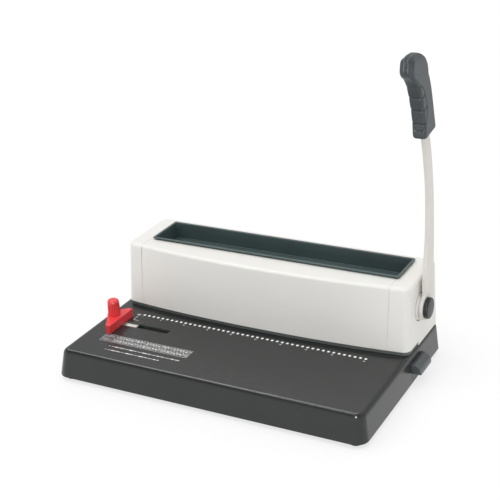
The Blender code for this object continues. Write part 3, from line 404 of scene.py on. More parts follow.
def carve(item, *tools, operation="DIFFERENCE"):
    for tool in tools:
        step = item.modifiers.new("Carve", "BOOLEAN")
        step.operation = operation
        step.solver = "EXACT"
        step.object = tool
    done = settle(item)
    for tool in tools:
        bpy.data.objects.remove(tool, do_unlink=True)
    return done


def brick(name, low, high):
    work = bmesh.new()
    bmesh.ops.create_cube(work, size=1.0)
    size = Vector(high) - Vector(low)
    for vert in work.verts:
        vert.co = Vector(low) + Vector([(vert.co[axis] + 0.5) * size[axis] for axis in range(3)])
    return meshObject(name, work)


def soften(item, width, segments=2, angle=40):
    bevel = item.modifiers.new("Soften", "BEVEL")
    bevel.width = width
    bevel.segments = segments
    bevel.angle_limit = math.radians(angle)
    bevel.limit_method = "ANGLE"
    return settle(item)


def wear(item, paintName, body, slot, *nodes, sharp=32):
    # Finish a piece: paint, shading, the body it rides on and the solids that it stands for
    item.data.materials.clear()
    item.data.materials.append(paints[paintName])
    item.data.shade_smooth()
    item.data.set_sharp_from_angle(angle=math.radians(sharp))
    even = item.modifiers.new("EvenShading", "WEIGHTED_NORMAL")
    even.keep_sharp = True
    even.weight = 80
    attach(item, body)
    if nodes:
        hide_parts(*nodes)
    return item


def smoothThrough(points, steps, closed=False):
    count = len(points)
    dims = range(len(points[0]))
    made = []
    for index in range(count if closed else count - 1):
        shifts = [index + shift for shift in (-1, 0, 1, 2)]
        picks = [shift % count if closed else min(max(shift, 0), count - 1) for shift in shifts]
        a, b, c, d = (points[pick] for pick in picks)
        for step in range(steps):
            t = step / steps
            made.append(tuple(
                0.5 * (2 * b[k] + (c[k] - a[k]) * t + (2 * a[k] - 5 * b[k] + 4 * c[k] - d[k]) * t * t
                       + (3 * b[k] - a[k] - 3 * c[k] + d[k]) * t ** 3) for k in dims))
    if not closed:
        made.append(tuple(points[-1]))
    return made


# Base casing: drafted skirt, rounded rim and a fine bead along the front, painted pale as a painted
# highlight line
base = {
    "leftDraft": 0.0095, "rightDraft": 0.0025, "frontDraft": 0.0022, "rearDraft": 0.003,
    "frontCorner": 0.014, "rearCorner": 0.0078, "leastCorner": 0.0008, "cornerTaper": 0.30,
    "edge": 0.0058, "frontRound": 0.55, "wall": 0.0025, "hem": 0.0005, "skirtFrom": 0.004,
    "beadWidth": 0.0006, "beadHeight": 0.0002, "cornerSteps": 14, "edgeSteps": 10,
    "beadSection": [(-1.0, -0.5), (-0.8, 0.45), (-0.4, 0.85), (0.0, 1.0), (0.4, 0.85), (0.8, 0.45),
                    (1.0, -0.5)],
    "windowMargin": 0.003, "fitGap": 0.0003, "mouthGap": 0.0006,
    "slotFromLeft": 0.0208, "slotLength": 0.083, "slotWidth": 0.0105, "slotFromFront": 0.08575,
    "slotCorner": 0.0012, "linerWall": 0.0003, "linerDrop": 0.0001,
    "channelHalf": 0.0090, "channelFloor": 0.0312, "channelWall": 0.001, "channelReach": 0.006,
}
baseLow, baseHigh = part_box("base_shell")
slotY = baseLow.y + base["slotFromFront"]
slotLeft = baseLow.x + base["slotFromLeft"]
slotRight = slotLeft + base["slotLength"]


def baseRing(height, inset):
    # One level of the casing: the drafted plan, drawn in
    share = (height - baseLow.z) / (baseHigh.z - baseLow.z)
    left = baseLow.x + base["leftDraft"] * share + inset
    right = baseHigh.x - base["rightDraft"] * share - inset
    front = baseLow.y + base["frontDraft"] * share + inset * base["frontRound"]
    rear = baseHigh.y - base["rearDraft"] * share - inset
    frontRadius = max(base["frontCorner"] * (1 - base["cornerTaper"] * share) - inset, base["leastCorner"])
    rearRadius = max(base["rearCorner"] - inset, base["leastCorner"])
    corners = [(left + frontRadius, front + frontRadius, frontRadius, 180),
               (right - frontRadius, front + frontRadius, frontRadius, 270),
               (right - rearRadius, rear - rearRadius, rearRadius, 0),
               (left + rearRadius, rear - rearRadius, rearRadius, 90)]
    return [(x, y, height) for x, y in roundedRing(corners, base["cornerSteps"])]


def makeBase():
    top = baseHigh.z
    edge = base["edge"]
    hem = base["hem"]
    outer = [baseRing(baseLow.z, hem)]
    outer += [baseRing(baseLow.z + hem * rise, hem * (1 - rise)) for rise in (0.4, 1.0)]
    outer += [baseRing(baseLow.z + base["skirtFrom"], 0.0)]
    outer += [baseRing(top - edge - base["skirtFrom"] / 2, 0.0)]
    for turn in quarter(base["edgeSteps"]):
        outer.append(baseRing(top - edge * (1 - math.sin(turn)), edge * (1 - math.cos(turn))))
    outer.append(baseRing(top, edge + 0.0004))
    wall = base["wall"]
    inner = [baseRing(baseLow.z, wall), baseRing(top - edge, wall)]
    for turn in quarter(4, 1):
        height = top - edge + (edge - wall) * math.sin(turn)
        inner.append(baseRing(height, edge - (edge - wall) * math.cos(turn)))
    casing = loft("baseCasing", inner[::-1] + outer)
    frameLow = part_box("side_frame_left")[0]
    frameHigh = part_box("side_frame_right")[1]
    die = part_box("die_plate")[0]
    gap = base["fitGap"]
    window = brick("window", (frameLow.x - base["windowMargin"], die.y - gap, top - 2 * wall),
                   (frameHigh.x + base["windowMargin"], frameHigh.y + gap, top + wall))
    slot = plate("slot", slotOutline(base["linerWall"]), (top - 2 * wall, top + wall))
    panelLow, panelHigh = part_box("drawer_front")
    mouth = brick("mouth", (panelLow.x - 4 * wall, panelLow.y - base["mouthGap"], panelLow.z - gap),
                  (baseHigh.x + wall, panelHigh.y + base["mouthGap"], panelHigh.z + base["mouthGap"]))
    casing = carve(casing, window, slot, mouth)
    wear(casing, "casing", "machine", "base_black", "base_shell", sharp=38)


def makeFrontBead():
    # The bead where the front's rounding meets the top, fading out round the corners, painted pale grey as a
    # painted highlight line
    path = [Vector(point[:2]) for point in baseRing(baseHigh.z, base["edge"])]
    path = path[:2 * (base["cornerSteps"] + 1)]    # the two front corners
    rings = []
    for before, spot, after in list(zip(path, path[1:], path[2:]))[2:-4]:
        along = (after - before).normalized()
        outward = Vector((along.y, -along.x))
        size = min(1.0, 0.15 - 1.2 * outward.y)
        ring = []
        for across, rise in base["beadSection"]:
            place = spot + outward * (across * base["beadWidth"] / 2 * size)
            ring.append((place.x, place.y, baseHigh.z + rise * base["beadHeight"] * size))
        rings.append(ring)
    # the pale bead paint is a painted highlight, not the casing's own colour
    wear(loft("frontBead", rings), "bead", "machine", "base_black")


def slotOutline(grow):
    half = base["slotWidth"] / 2 + grow
    rim = base["slotCorner"] + grow
    left = slotLeft - grow + rim
    right = slotRight + grow - rim
    rear = slotY + half - rim
    front = slotY - half + rim
    return roundedRing([(right, rear, rim, 0), (left, rear, rim, 90),
                        (left, front, rim, 180), (right, front, rim, 270)], 4)


def makeSlotLiner():
    # A thin sleeve in the slot, and the channel under it that the slide's flange runs in, both in a paler
    # paint that lightens the slot's shade as painted light
    top = baseHigh.z
    wall = base["wall"]
    sleeve = plate("slotSleeve", slotOutline(base["linerWall"]), (top - wall, top - base["linerDrop"]),
                   holes=[slotOutline(0.0)])
    wear(sleeve, "liner", "machine", "base_black")
    inside = base["channelHalf"]
    outside = inside + base["channelWall"]
    floor = base["channelFloor"]
    under = floor - base["channelWall"]
    rim = top - wall
    outline = [(slotY - outside, rim), (slotY - outside, under), (slotY + outside, under),
               (slotY + outside, rim), (slotY + inside, rim), (slotY + inside, floor),
               (slotY - inside, floor), (slotY - inside, rim)]
    run = (slotLeft - base["channelReach"], slotRight + base["channelReach"])
    channel = plate("slotChannel", outline, run, "x")
    wear(channel, "liner", "machine", "base_black")


makeBase()
makeFrontBead()
makeSlotLiner()
print("base made")


# Housing: cover over the mechanism and the two end caps, its front bowed out a little in plan
housing = {
    "frontLean": 0.0067, "rearLean": 0.001, "sideLean": 0.0015, "wall": 0.0025, "edge": 0.004,
    "bow": 0.0076, "bowEnds": 0.0020, "bowRise": 0.0030, "bowSteps": 24, "corner": 0.009, "arcSteps": 9,
    "seamShift": -0.0032, "leftReach": 0.0040, "hem": 0.00028,
    "lapReach": 0.00026, "lapDepth": 0.0003, "lapWall": 0.0006, "lapLift": 0.0004, "lapUnder": 0.0002,
    "throatGap": 0.0045, "throatDepth": 0.040, "lipRecess": 0.0010, "lipWall": 0.0015, "lipClear": 0.00035,
    "hubRadius": 0.0163, "hubDepth": 0.0115, "toolMargin": 0.01,
}
coverLow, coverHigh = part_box("housing_cover")
capLow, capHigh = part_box("right_end_cap")
leftLow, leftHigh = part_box("left_end_cap")
hinge = next(joint for joint in frame["joints"] if joint["name"] == "lever_swing")["pos_m"]
housingFoot = capLow.z
housingFront = capLow.y
housingRear = capHigh.y
housingLeft = leftLow.x - housing["leftReach"]
housingRight = capHigh.x
housingMiddle = (housingLeft + housingRight) / 2
coverLeft = coverLow.x + housing["seamShift"]
coverRight = coverHigh.x + housing["seamShift"]
frontFoot = housingFoot + housing["throatGap"]   # the front stops above the paper throat


def frontAt(height, x):
    share = 2 * (x - housingMiddle) / (housingRight - housingLeft)
    rise = (height - housingFoot) / (coverHigh.z - housingFoot)
    back = housing["bow"] * share ** 2 + housing["bowEnds"] * share ** 4
    return housingFront + back + rise * (housing["frontLean"] + housing["bowRise"] * share ** 2)


def rearAt(height):
    return housingRear - housing["rearLean"] * (height - housingFoot) / (coverHigh.z - housingFoot)


def housingBand(inset, x, lift=0.0):
    # The cover's section at x: up the front, over the top and down the back
    top = coverHigh.z - inset
    radius = housing["edge"] - inset
    front = frontAt(top, x) + inset
    rear = rearAt(top) - inset
    frontArc = arc((front + radius, top - radius), radius, 180, 90, housing["arcSteps"])
    rearArc = arc((rear - radius, top - radius), radius, 90, 0, housing["arcSteps"])
    start = (frontAt(frontFoot, x) + inset, frontFoot + lift)
    return [start, *frontArc, *rearArc, (rearAt(housingFoot) - inset, housingFoot + lift)]


def coverSection(x, inset):
    return [(x, y, z) for y, z in housingBand(inset, x) + housingBand(housing["wall"], x)[::-1]]


def makeCover():
    hem = housing["hem"]
    ends = [(0.0, hem), (0.4 * hem, 0.25 * hem), (hem, 0.0)]
    span = coverRight - coverLeft - 2 * hem
    steps = housing["bowSteps"]
    rings = [coverSection(coverLeft + shift, inset) for shift, inset in ends]
    rings += [coverSection(coverLeft + hem + span * step / steps, 0.0) for step in range(1, steps)]
    rings += [coverSection(coverRight - shift, inset) for shift, inset in ends[::-1]]
    cover = loft("housingCover", rings)
    low, high = trayBox()
    inset = tray["openingInset"]
    opening = brick("trayOpening", (low.x + inset, low.y + inset, coverHigh.z - 2 * housing["wall"]),
                    (high.x - inset, high.y - inset, coverHigh.z + housing["wall"]))
    cover = carve(cover, opening)
    wear(cover, "housing", "machine", "housing_white", "housing_cover")


def makeCap(side, name, node, seam, outerX):
    top = coverHigh.z
    edge = housing["edge"]
    hem = housing["hem"]
    levels = [(housingFoot, 0.0), (housingFoot + 0.006, 0.0), (top - edge - 0.0015, 0.0)]
    for turn in quarter(housing["arcSteps"]):
        levels.append((top - edge * (1 - math.sin(turn)), edge * (1 - math.cos(turn))))
    levels.append((top, edge + 0.0005))
    rings = []
    for height, inset in levels:
        share = (height - housingFoot) / (top - housingFoot)
        outside = outerX - side * (housing["sideLean"] * share + inset)
        rear = rearAt(height) - inset
        radius = max(housing["corner"] - inset, 0.001)
        centre = outside - side * radius
        path = []
        halfway = (centre - seam) * side / 2
        for shift, sink in ((0, hem), (0.3 * hem, 0.3 * hem), (hem, 0), (4 * hem, 0), (halfway, 0)):
            x = seam + side * shift
            path.append((x, frontAt(height, x) + inset + sink))
        front = frontAt(height, centre) + inset
        for middle, start in ((front + radius, -90), (rear - radius, 0)):
            corner = arc((0, middle), radius, start, start + 90, 10)
            path += [(centre + side * reach, y) for reach, y in corner]
        path += [(seam + side * 4 * hem, rear), (seam + side * hem, rear),
                 (seam + side * hem * 0.3, rear - hem * 0.3), (seam, rear - hem)]
        rings.append([(x, y, height) for x, y in path])
    cap = loft(name, rings, capStart=False, capEnd=True, closed=False, flip=side < 0)
    shell = cap.modifiers.new("Wall", "SOLIDIFY")
    shell.thickness = housing["wall"]
    shell.offset = -1
    shell.use_even_offset = True
    cap = settle(cap)
    margin = housing["toolMargin"]
    ends = sorted((outerX + side * margin, seam - side * margin))
    throat = brick("throat", (ends[0], housingFront - margin, housingFoot - margin),
                   (ends[1], housingFront + housing["throatDepth"], frontFoot))
    tools = [throat]
    if side > 0:
        radius = housing["hubRadius"]
        deep = -housing["hubDepth"]
        profile = [(0, 2 * margin), (radius, 2 * margin), (radius, deep), (0, deep)]
        tools.append(turned("hubHole", profile, (outerX, hinge[1], hinge[2]), "x", steps=72))
    cap = carve(cap, *tools)
    # a thin lap under the cover closes the seam
    lift = housing["lapLift"]
    band = housingBand(housing["lapDepth"], seam, lift)
    inner = housingBand(housing["lapDepth"] + housing["lapWall"], seam, lift)
    ends = (seam - side * housing["lapReach"], seam + side * housing["lapUnder"])
    lap = loft(name + "Lap", [[(x, y, z) for y, z in band + inner[::-1]] for x in ends])
    work = bmesh.new()
    work.from_mesh(cap.data)
    work.from_mesh(lap.data)
    work.to_mesh(cap.data)
    work.free()
    bpy.data.objects.remove(lap, do_unlink=True)
    wear(cap, "housing", "machine", "housing_white", node)


def throatPath(inset):
    # Along the throat's opening: the left end, the bowed front and the right end
    stop = housingFront + housing["throatDepth"]
    radius = housing["corner"] - inset
    left = housingLeft + inset + radius
    right = housingRight - inset - radius
    steps = housing["bowSteps"]
    across = [left + (right - left) * step / steps for step in range(1, steps)]
    path = [(left - radius, stop)]
    path += arc((left, frontAt(frontFoot, left) + inset + radius), radius, 180, 270, 8)
    path += [(x, frontAt(frontFoot, x) + inset) for x in across]
    path += arc((right, frontAt(frontFoot, right) + inset + radius), radius, 270, 360, 8)
    return path + [(right + radius, stop)]


def makeThroatLip():
    # A sheet hung under the housing's front where the throat lies in shade, painted to that shade's tone as
    # painted shade, with room for the sheets below it
    recess = housing["lipRecess"]
    outline = throatPath(recess) + throatPath(recess + housing["lipWall"])[::-1]
    lip = plate("throatLip", outline, (baseHigh.z + housing["lipClear"], frontFoot + 0.0002))
    # the lip's paler liner paint is painted shade lifted to a lit tone
    wear(lip, "liner", "machine", "base_black")


# Tray let into the housing's top: a beaded rim round a deep plain well
tray = {
    "rimWidth": 0.0034, "rimHeight": 0.0013, "bead": 0.0006, "cornerRadius": 0.0022, "leastCorner": 0.0012,
    "draft": 0.0012, "floorRound": 0.0005, "wall": 0.0014, "steps": 6,
    "frontMargin": 0.0014, "rearMargin": 0.0040, "openingInset": 0.0018,
}


def trayBox():
    low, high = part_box("top_tray")
    return low + Vector((0, tray["frontMargin"], 0)), high - Vector((0, tray["rearMargin"], 0))


def trayRing(low, high, inset, height, radius):
    left, right = low.x + inset, high.x - inset
    front, rear = low.y + inset, high.y - inset
    corners = [(left + radius, front + radius, radius, 180), (right - radius, front + radius, radius, 270),
               (right - radius, rear - radius, radius, 0), (left + radius, rear - radius, radius, 90)]
    return [(x, y, height) for x, y in roundedRing(corners, tray["steps"])]


def makeTray():
    low, high = trayBox()
    rim = tray["rimWidth"]
    bead = tray["bead"]
    corner = tray["cornerRadius"]
    wall = tray["wall"]
    well = low.z + wall
    rimFoot = high.z - tray["rimHeight"]
    surface = [(0.0, rimFoot), (0.0, high.z - bead)]
    surface += [(bead * (1 - math.cos(turn)), high.z - bead * (1 - math.sin(turn)))
                for turn in (0.4, 0.8, 1.2, math.pi / 2)]
    surface += [(rim - 2 * bead, high.z)]
    surface += [(rim - 2 * bead + 1.4 * bead * math.sin(turn), high.z - 1.4 * bead * (1 - math.cos(turn)))
                for turn in (0.5, 1.0, math.pi / 2)]
    deep = rim - 0.6 * bead
    foot = deep + tray["draft"] * 0.8
    bend = tray["floorRound"]
    surface += [(deep + 0.0002, high.z - 0.003), (foot, well + bend)]
    for turn in quarter(4, 1):
        surface.append((foot + bend * (1 - math.cos(turn)), well + bend * (1 - math.sin(turn))))
    under = [(deep + tray["draft"], low.z), (deep + tray["draft"] - wall, low.z + wall * 1.2),
             (deep - wall * 0.8, high.z - 0.0042), (deep - wall * 0.8, rimFoot)]
    rings = [trayRing(low, high, inset, height, max(corner - inset * 0.3, tray["leastCorner"]))
             for inset, height in surface[::-1] + under[::-1]]
    item = loft("topTray", rings)
    wear(item, "tray", "machine", "tray_dark", "top_tray", sharp=50)


makeCover()
makeCap(1, "rightEndCap", "right_end_cap", capLow.x + housing["seamShift"], housingRight)
makeCap(-1, "leftEndCap", "left_end_cap", leftHigh.x + housing["seamShift"], housingLeft)
makeThroatLip()
makeTray()
print("housing made")


# Lever: flat bar, hub and grip
lever = {
    "height": 0.2945, "width": 0.0285, "eyeRadius": 0.0145, "rounding": 0.0007,
    "riseShares": [0.02, 0.076, 0.158, 0.239, 0.317, 0.396, 0.474, 0.555, 0.637, 0.722, 0.79],
    "backShares": [0.034, 0.0332, 0.0340, 0.0417, 0.0445, 0.0434, 0.0365, 0.0231, 0.0026, -0.0255, -0.0473],
    "widthShares": [0.97, 0.962, 0.901, 0.737, 0.643, 0.616, 0.583, 0.585, 0.595, 0.513, 0.455],
}
pivotY, pivotZ = hinge[1], hinge[2]
barLow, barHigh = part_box("lever_bar")


def leverSides(steps):
    shares = zip(lever["riseShares"], lever["backShares"], lever["widthShares"])
    spine = [(lever["height"] * rise, lever["height"] * back, lever["width"] * width / 2)
             for rise, back, width in shares]
    spine = smoothThrough(spine, steps)
    front = [(pivotY + back - half, pivotZ + rise) for rise, back, half in spine]
    rear = [(pivotY + back + half, pivotZ + rise) for rise, back, half in spine]
    return front, rear


def makeLeverBar():
    front, rear = leverSides(6)
    radius = lever["eyeRadius"]
    heel = (rear[0][0] - radius, rear[0][1] - radius / 4)
    eye = arc(heel, radius, 0, -75, 10) + arc((pivotY, pivotZ), radius, 270, 145, 22)
    outline = eye + front[4:] + rear[::-1]
    bar = plate("leverBar", outline, (barLow.x, barHigh.x), "x", rounding=lever["rounding"], segments=3)
    wear(bar, "lever", "lever", "lever_white", "lever_bar", sharp=40)


makeLeverBar()

hub = {
    "bossRadius": 0.0152, "bossStep": 0.0016, "bossProud": 0.0029, "bore": 0.0048, "edge": 0.0004,
    "capRadius": 0.0120, "capCrown": 0.0005, "capEdge": 0.0021, "capWall": 0.0014, "capTop": 0.0018,
}


def makeHub():
    low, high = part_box("lever_boss")
    face = high.x
    full = hub["bossRadius"]
    step = hub["bossStep"]
    third = hub["bossProud"] / 3
    edge = hub["edge"]
    bore = hub["bore"]
    profile = [(bore, face)]
    for level, radius in enumerate((full - 2 * step, full - step, full)):
        height = face - level * third
        profile += [(radius - edge, height), (radius - edge * 0.3, height - edge * 0.3),
                    (radius, height - edge), (radius, height - third)]
    profile += [(full, low.x), (bore, low.x), (bore, face)]
    boss = turned("leverBoss", profile, (0, pivotY, pivotZ), "x", steps=72)
    wear(boss, "housing", "lever", "housing_white", "lever_boss", sharp=40)
    low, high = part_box("hub_cap")
    radius = hub["capRadius"]
    edge = hub["capEdge"]
    crown = hub["capCrown"]
    flat = radius - edge
    profile = [(flat * share, high.x - crown * share * share) for share in (0.0, 0.25, 0.5, 0.75, 0.9)]
    profile += [(flat + edge * math.sin(turn), high.x - crown - (edge - crown) * (1 - math.cos(turn)))
                for turn in quarter(8)]
    inside = radius - hub["capWall"]
    under = high.x - hub["capTop"]
    profile += [(radius, low.x + 0.0004), (radius - 0.0003, low.x), (inside, low.x),
                (inside, under), (0.0, under)]
    cap = turned("hubCap", profile, (0, pivotY, pivotZ), "x", steps=72)
    wear(cap, "cap", "lever", "grip_grey", "hub_cap", sharp=40)


makeHub()

# Grip: pairs of front and rear points up its length as shares of depth and length, with the share of
# its full thickness and the rounding of its section there
grip = {
    "length": 0.0973, "depth": 0.045, "thickness": 0.015, "footBehind": 0.0069,
    "stations": [
        (-0.350, 0.026, 0.285, 0.076, 0.86, 0.0030), (-0.376, 0.038, 0.303, 0.083, 0.97, 0.0032),
        (-0.402, 0.075, 0.298, 0.110, 1.00, 0.0032), (-0.433, 0.202, 0.235, 0.205, 1.00, 0.0032),
        (-0.528, 0.350, 0.140, 0.350, 1.00, 0.0032), (-0.660, 0.505, 0.035, 0.505, 1.00, 0.0032),
        (-0.806, 0.635, -0.082, 0.640, 1.00, 0.0034), (-0.990, 0.727, -0.168, 0.720, 1.00, 0.0042),
        (-1.172, 0.778, -0.165, 0.770, 1.00, 0.0054), (-1.262, 0.838, -0.196, 0.822, 1.00, 0.0062),
        (-1.236, 0.924, -0.285, 0.880, 1.00, 0.0068),
    ],
    "tip": (-0.870, 0.991), "steps": 24, "domeSteps": 16, "domeFrom": 12, "domeSquare": 0.75,
    "faceSteps": 8, "cornerSteps": 8, "nearReach": 0.011, "nearSteps": 28, "farSteps": 5,
    "panelLines": [0.629, 0.496, 0.352, 0.195],  # up the front, as shares of the length
    "footLine": 0.113, "footClimb": 0.047, "footFlat": 0.0030, "footRun": 0.0042, "faceReach": 0.05,
    "panelEdge": [(0.160, -0.415), (0.199, -0.388), (0.247, -0.332), (0.297, -0.285), (0.363, -0.293),
                  (0.426, -0.340), (0.480, -0.400), (0.518, -0.441), (0.570, -0.506), (0.607, -0.579),
                  (0.650, -0.690), (0.690, -0.860)],
    "lineClimb": 0.13, "grooveWidth": 0.00055, "grooveDepth": 0.00080, "pillow": 0.0005,
    "ridgeSpread": 0.0052, "ridgeWidth": 0.0010, "ridgeDepth": 0.0013, "ridgeFrom": 0.735,
    "pocketGap": 0.0004,
}


def gripFoot():
    height = pivotZ + lever["height"] - grip["length"]
    nearest = min(leverSides(3)[0], key=lambda point: abs(point[1] - height))
    return nearest[0] + grip["footBehind"], height


def roundedSection(deep, half, radius):
    # (along, across, normal along, normal across) once round the section, from the middle of its front
    radius = min(radius, deep * 0.96, half * 0.96)
    face, corner = grip["faceSteps"], grip["cornerSteps"]
    flank = 2 * (deep - radius)
    near = min(grip["nearReach"], 0.7 * flank)
    backs = [near * step / grip["nearSteps"] for step in range(1, grip["nearSteps"])]
    backs += [near + (flank - near) * step / grip["farSteps"] for step in range(grip["farSteps"])]
    right = [(deep, (half - radius) * step / face, 1, 0) for step in range(face)]
    for shift, start in ((deep - radius, 0), (radius - deep, 90)):
        for step in range(corner + 1):
            turn = math.radians(start + 90 * step / corner)
            right.append((shift + radius * math.cos(turn), half - radius + radius * math.sin(turn),
                          math.cos(turn), math.sin(turn)))
        if start == 0:
            right += [(deep - radius - back, half, 0, 1) for back in backs]
    right += [(-deep, (half - radius) * (1 - step / face), -1, 0) for step in range(1, face + 1)]
    return right + [(a, -b, na, -nb) for a, b, na, nb in right[-2:0:-1]]


def panelReach(rise):
    # How far back the finger panels run on the side at a height, as a share of the depth
    table = grip["panelEdge"]
    for (lowRise, lowReach), (highRise, highReach) in zip(table, table[1:]):
        if lowRise <= rise <= highRise:
            return lowReach + (highReach - lowReach) * (rise - lowRise) / (highRise - lowRise)
    return -9.0


def bell(distance, width):
    return math.exp(-(distance / width) ** 2)


def panelSink(rise, depthShare, frontShare, across):
    lines = grip["panelLines"]
    climb = min(1.0, max(0.0, (abs(across) - grip["footFlat"]) / grip["footRun"]))
    foot = grip["footLine"] + grip["footClimb"] * climb
    fromEdge = (panelReach(rise) - depthShare) * grip["depth"]
    if depthShare - frontShare < grip["faceReach"] and rise < lines[-1] + 0.05:
        fromEdge = max(fromEdge, (rise - foot) * grip["length"])
    width = grip["grooveWidth"]
    if fromEdge < -3 * width:
        return 0.0
    inside = min(1.0, max(0.0, fromEdge / width))
    level = rise - grip["lineClimb"] * max(0.0, depthShare - frontShare)
    sink = grip["grooveDepth"] * bell(fromEdge, width) if level < lines[0] + 0.02 else 0.0
    for line in lines:
        sink += grip["grooveDepth"] * bell((level - line) * grip["length"], width) * inside
    for upper, lower in zip(lines, [*lines[1:], foot]):
        if lower < level < upper:
            swell = math.sin(math.pi * (level - lower) / (upper - lower)) ** 0.5
            sink += grip["pillow"] * (1 - swell) * inside
    return min(sink, grip["grooveDepth"] * 1.4)


def ridgeSink(across, along, frontRise):
    # Two ridges over the nose, with a groove between them and one on each side
    fade = min(1.0, max(0.0, (frontRise - grip["ridgeFrom"]) / 0.05)) * min(1.0, max(0.0, along + 0.5) / 0.6)
    spread = bell(abs(across) - grip["ridgeSpread"], grip["ridgeWidth"])
    return grip["ridgeDepth"] * fade * (bell(across, grip["ridgeWidth"]) + spread)


def gripRows():
    # The last value is 0 up the grip and grows to 1 over its rounded top
    rows = [(*row, 0.0) for row in smoothThrough(grip["stations"], grip["steps"])]
    frontU, frontV, rearU, rearV, thick, radius = grip["stations"][-1]
    tipU, tipV = grip["tip"]
    low = math.radians(grip["domeFrom"])
    for step in range(1, grip["domeSteps"]):
        turn = low + (math.pi / 2 - low) * step / grip["domeSteps"]
        rise = (math.sin(turn) - math.sin(low)) / (1 - math.sin(low))
        narrow = math.cos(turn) / math.cos(low)
        middle = (frontU + rearU) / 2 + (tipU - (frontU + rearU) / 2) * rise
        reach = (rearU - frontU) / 2 * narrow
        rows.append((middle - reach, frontV + (tipV - frontV) * rise,
                     middle + reach, rearV + (tipV - rearV) * rise,
                     thick * narrow ** grip["domeSquare"], radius, rise))
    return rows


def makeGrip():
    footY, footZ = gripFoot()
    low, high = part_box("lever_grip")
    middleX = (low.x + high.x) / 2
    rings = []
    for frontU, frontV, rearU, rearV, thick, radius, dome in gripRows():
        front = Vector((0, footY + grip["depth"] * frontU, footZ + grip["length"] * frontV))
        rear = Vector((0, footY + grip["depth"] * rearU, footZ + grip["length"] * rearV))
        centre = (front + rear) / 2
        ahead = (front - rear).normalized()
        deep = (front - rear).length / 2
        half = grip["thickness"] / 2 * thick
        ring = []
        for along, across, normalAlong, normalAcross in roundedSection(deep, half, radius):
            spot = centre + ahead * along + Vector((middleX + across, 0, 0))
            rise = (spot.z - footZ) / grip["length"]
            depthShare = (spot.y - footY) / grip["depth"]
            ridge = min(ridgeSink(across, normalAlong, frontV), 0.3 * half)
            sink = panelSink(rise, depthShare, frontU, across) + ridge * (1 - dome)
            spot -= (ahead * normalAlong + Vector((normalAcross, 0, 0))) * sink
            ring.append(spot - Vector((0, 0, ridge * dome)))
        rings.append(ring)
    item = loft("leverGrip", rings)
    front, rear = leverSides(6)
    gap = grip["pocketGap"]
    pocketTop = max(front[-1][1], rear[-1][1]) + gap
    start = next(index for index, point in enumerate(front) if point[1] > footZ - 0.02)
    outline = [(y - gap, z) for y, z in front[start:]]
    outline += [(front[-1][0] - gap, pocketTop), (rear[-1][0] + gap, pocketTop)]
    outline += [(y + gap, z) for y, z in rear[start:][::-1]]
    pocket = plate("pocket", outline, (barLow.x - gap, barHigh.x + gap), "x")
    item = carve(item, pocket)
    wear(item, "grip", "lever", "grip_grey", "lever_grip", sharp=60)


makeGrip()
print("lever made")


# Edge guide with its fluted clamping knob
guide = {
    "tip": 0.0055, "apexRadius": 0.0085, "rounding": 0.0011,
    "knobBase": 0.0074, "knobTop": 0.0069, "dome": 0.0034, "collar": 0.0014,
    "flutes": 20, "fluteDepth": 0.00085, "fluteTopShare": 0.72,
    "studRadius": 0.0023, "studHole": 0.012,
    "rampLength": 0.0060, "rampShort": 0.0026, "rampDrop": 0.0038, "slideShows": 0.0098,
    "slideWidth": 0.0060, "slideGap": 0.0003, "ribDeep": 0.004, "ribUnder": 0.0030, "flange": 0.002,
}
knobX, knobY = next(joint for joint in frame["joints"] if joint["name"] == "knob_turn")["pos_m"][:2]


def makeGuide():
    low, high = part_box("edge_guide")
    apex = arc((knobX, knobY), guide["apexRadius"], 120, 232, 14)
    tip = guide["tip"]
    outline = [(high.x, low.y), (high.x, high.y), (high.x - tip, high.y), *apex, (high.x - tip, low.y)]
    fence = plate("edgeGuide", outline, (low.z, high.z))
    fence = soften(fence, guide["rounding"], 4)
    wear(fence, "red", "guide", "guide_red", "edge_guide", sharp=45)
    low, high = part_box("guide_knob")
    height = high.z - low.z
    dome = guide["dome"]
    foot, top = guide["knobBase"], guide["knobTop"]
    collar = guide["collar"]
    profile = [(0.0, high.z)]
    profile += [(top - dome + dome * math.sin(turn), high.z - dome * (1 - math.cos(turn)))
                for turn in quarter(9)]
    fluteTop = low.z + height * guide["fluteTopShare"]
    for step in range(8):
        level = fluteTop + (low.z + collar - fluteTop) * step / 7
        profile.append((top + (foot - top) * (high.z - level) / height, level))
    stud = guide["studRadius"]
    deep = low.z + guide["studHole"]
    profile += [(foot - 0.0003, low.z + collar - 0.0002), (foot - 0.0003, low.z + 0.0003),
                (foot - 0.0006, low.z), (stud, low.z), (stud, deep), (0.0, deep)]

    def flute(radius, level, turn):
        if radius < top - 0.001 or level > fluteTop + 0.001 or level < low.z + collar - 0.0001:
            return radius
        rise = min(1.0, max(0.0, (fluteTop + 0.0006 - level) / 0.0025))
        wave = (0.5 - 0.5 * math.cos(guide["flutes"] * turn)) ** 0.7
        return radius - guide["fluteDepth"] * wave * rise

    knob = turned("guideKnob", profile, (knobX, knobY, 0), steps=guide["flutes"] * 8, flute=flute)
    wear(knob, "red", "knob", "guide_red", "guide_knob", sharp=50)


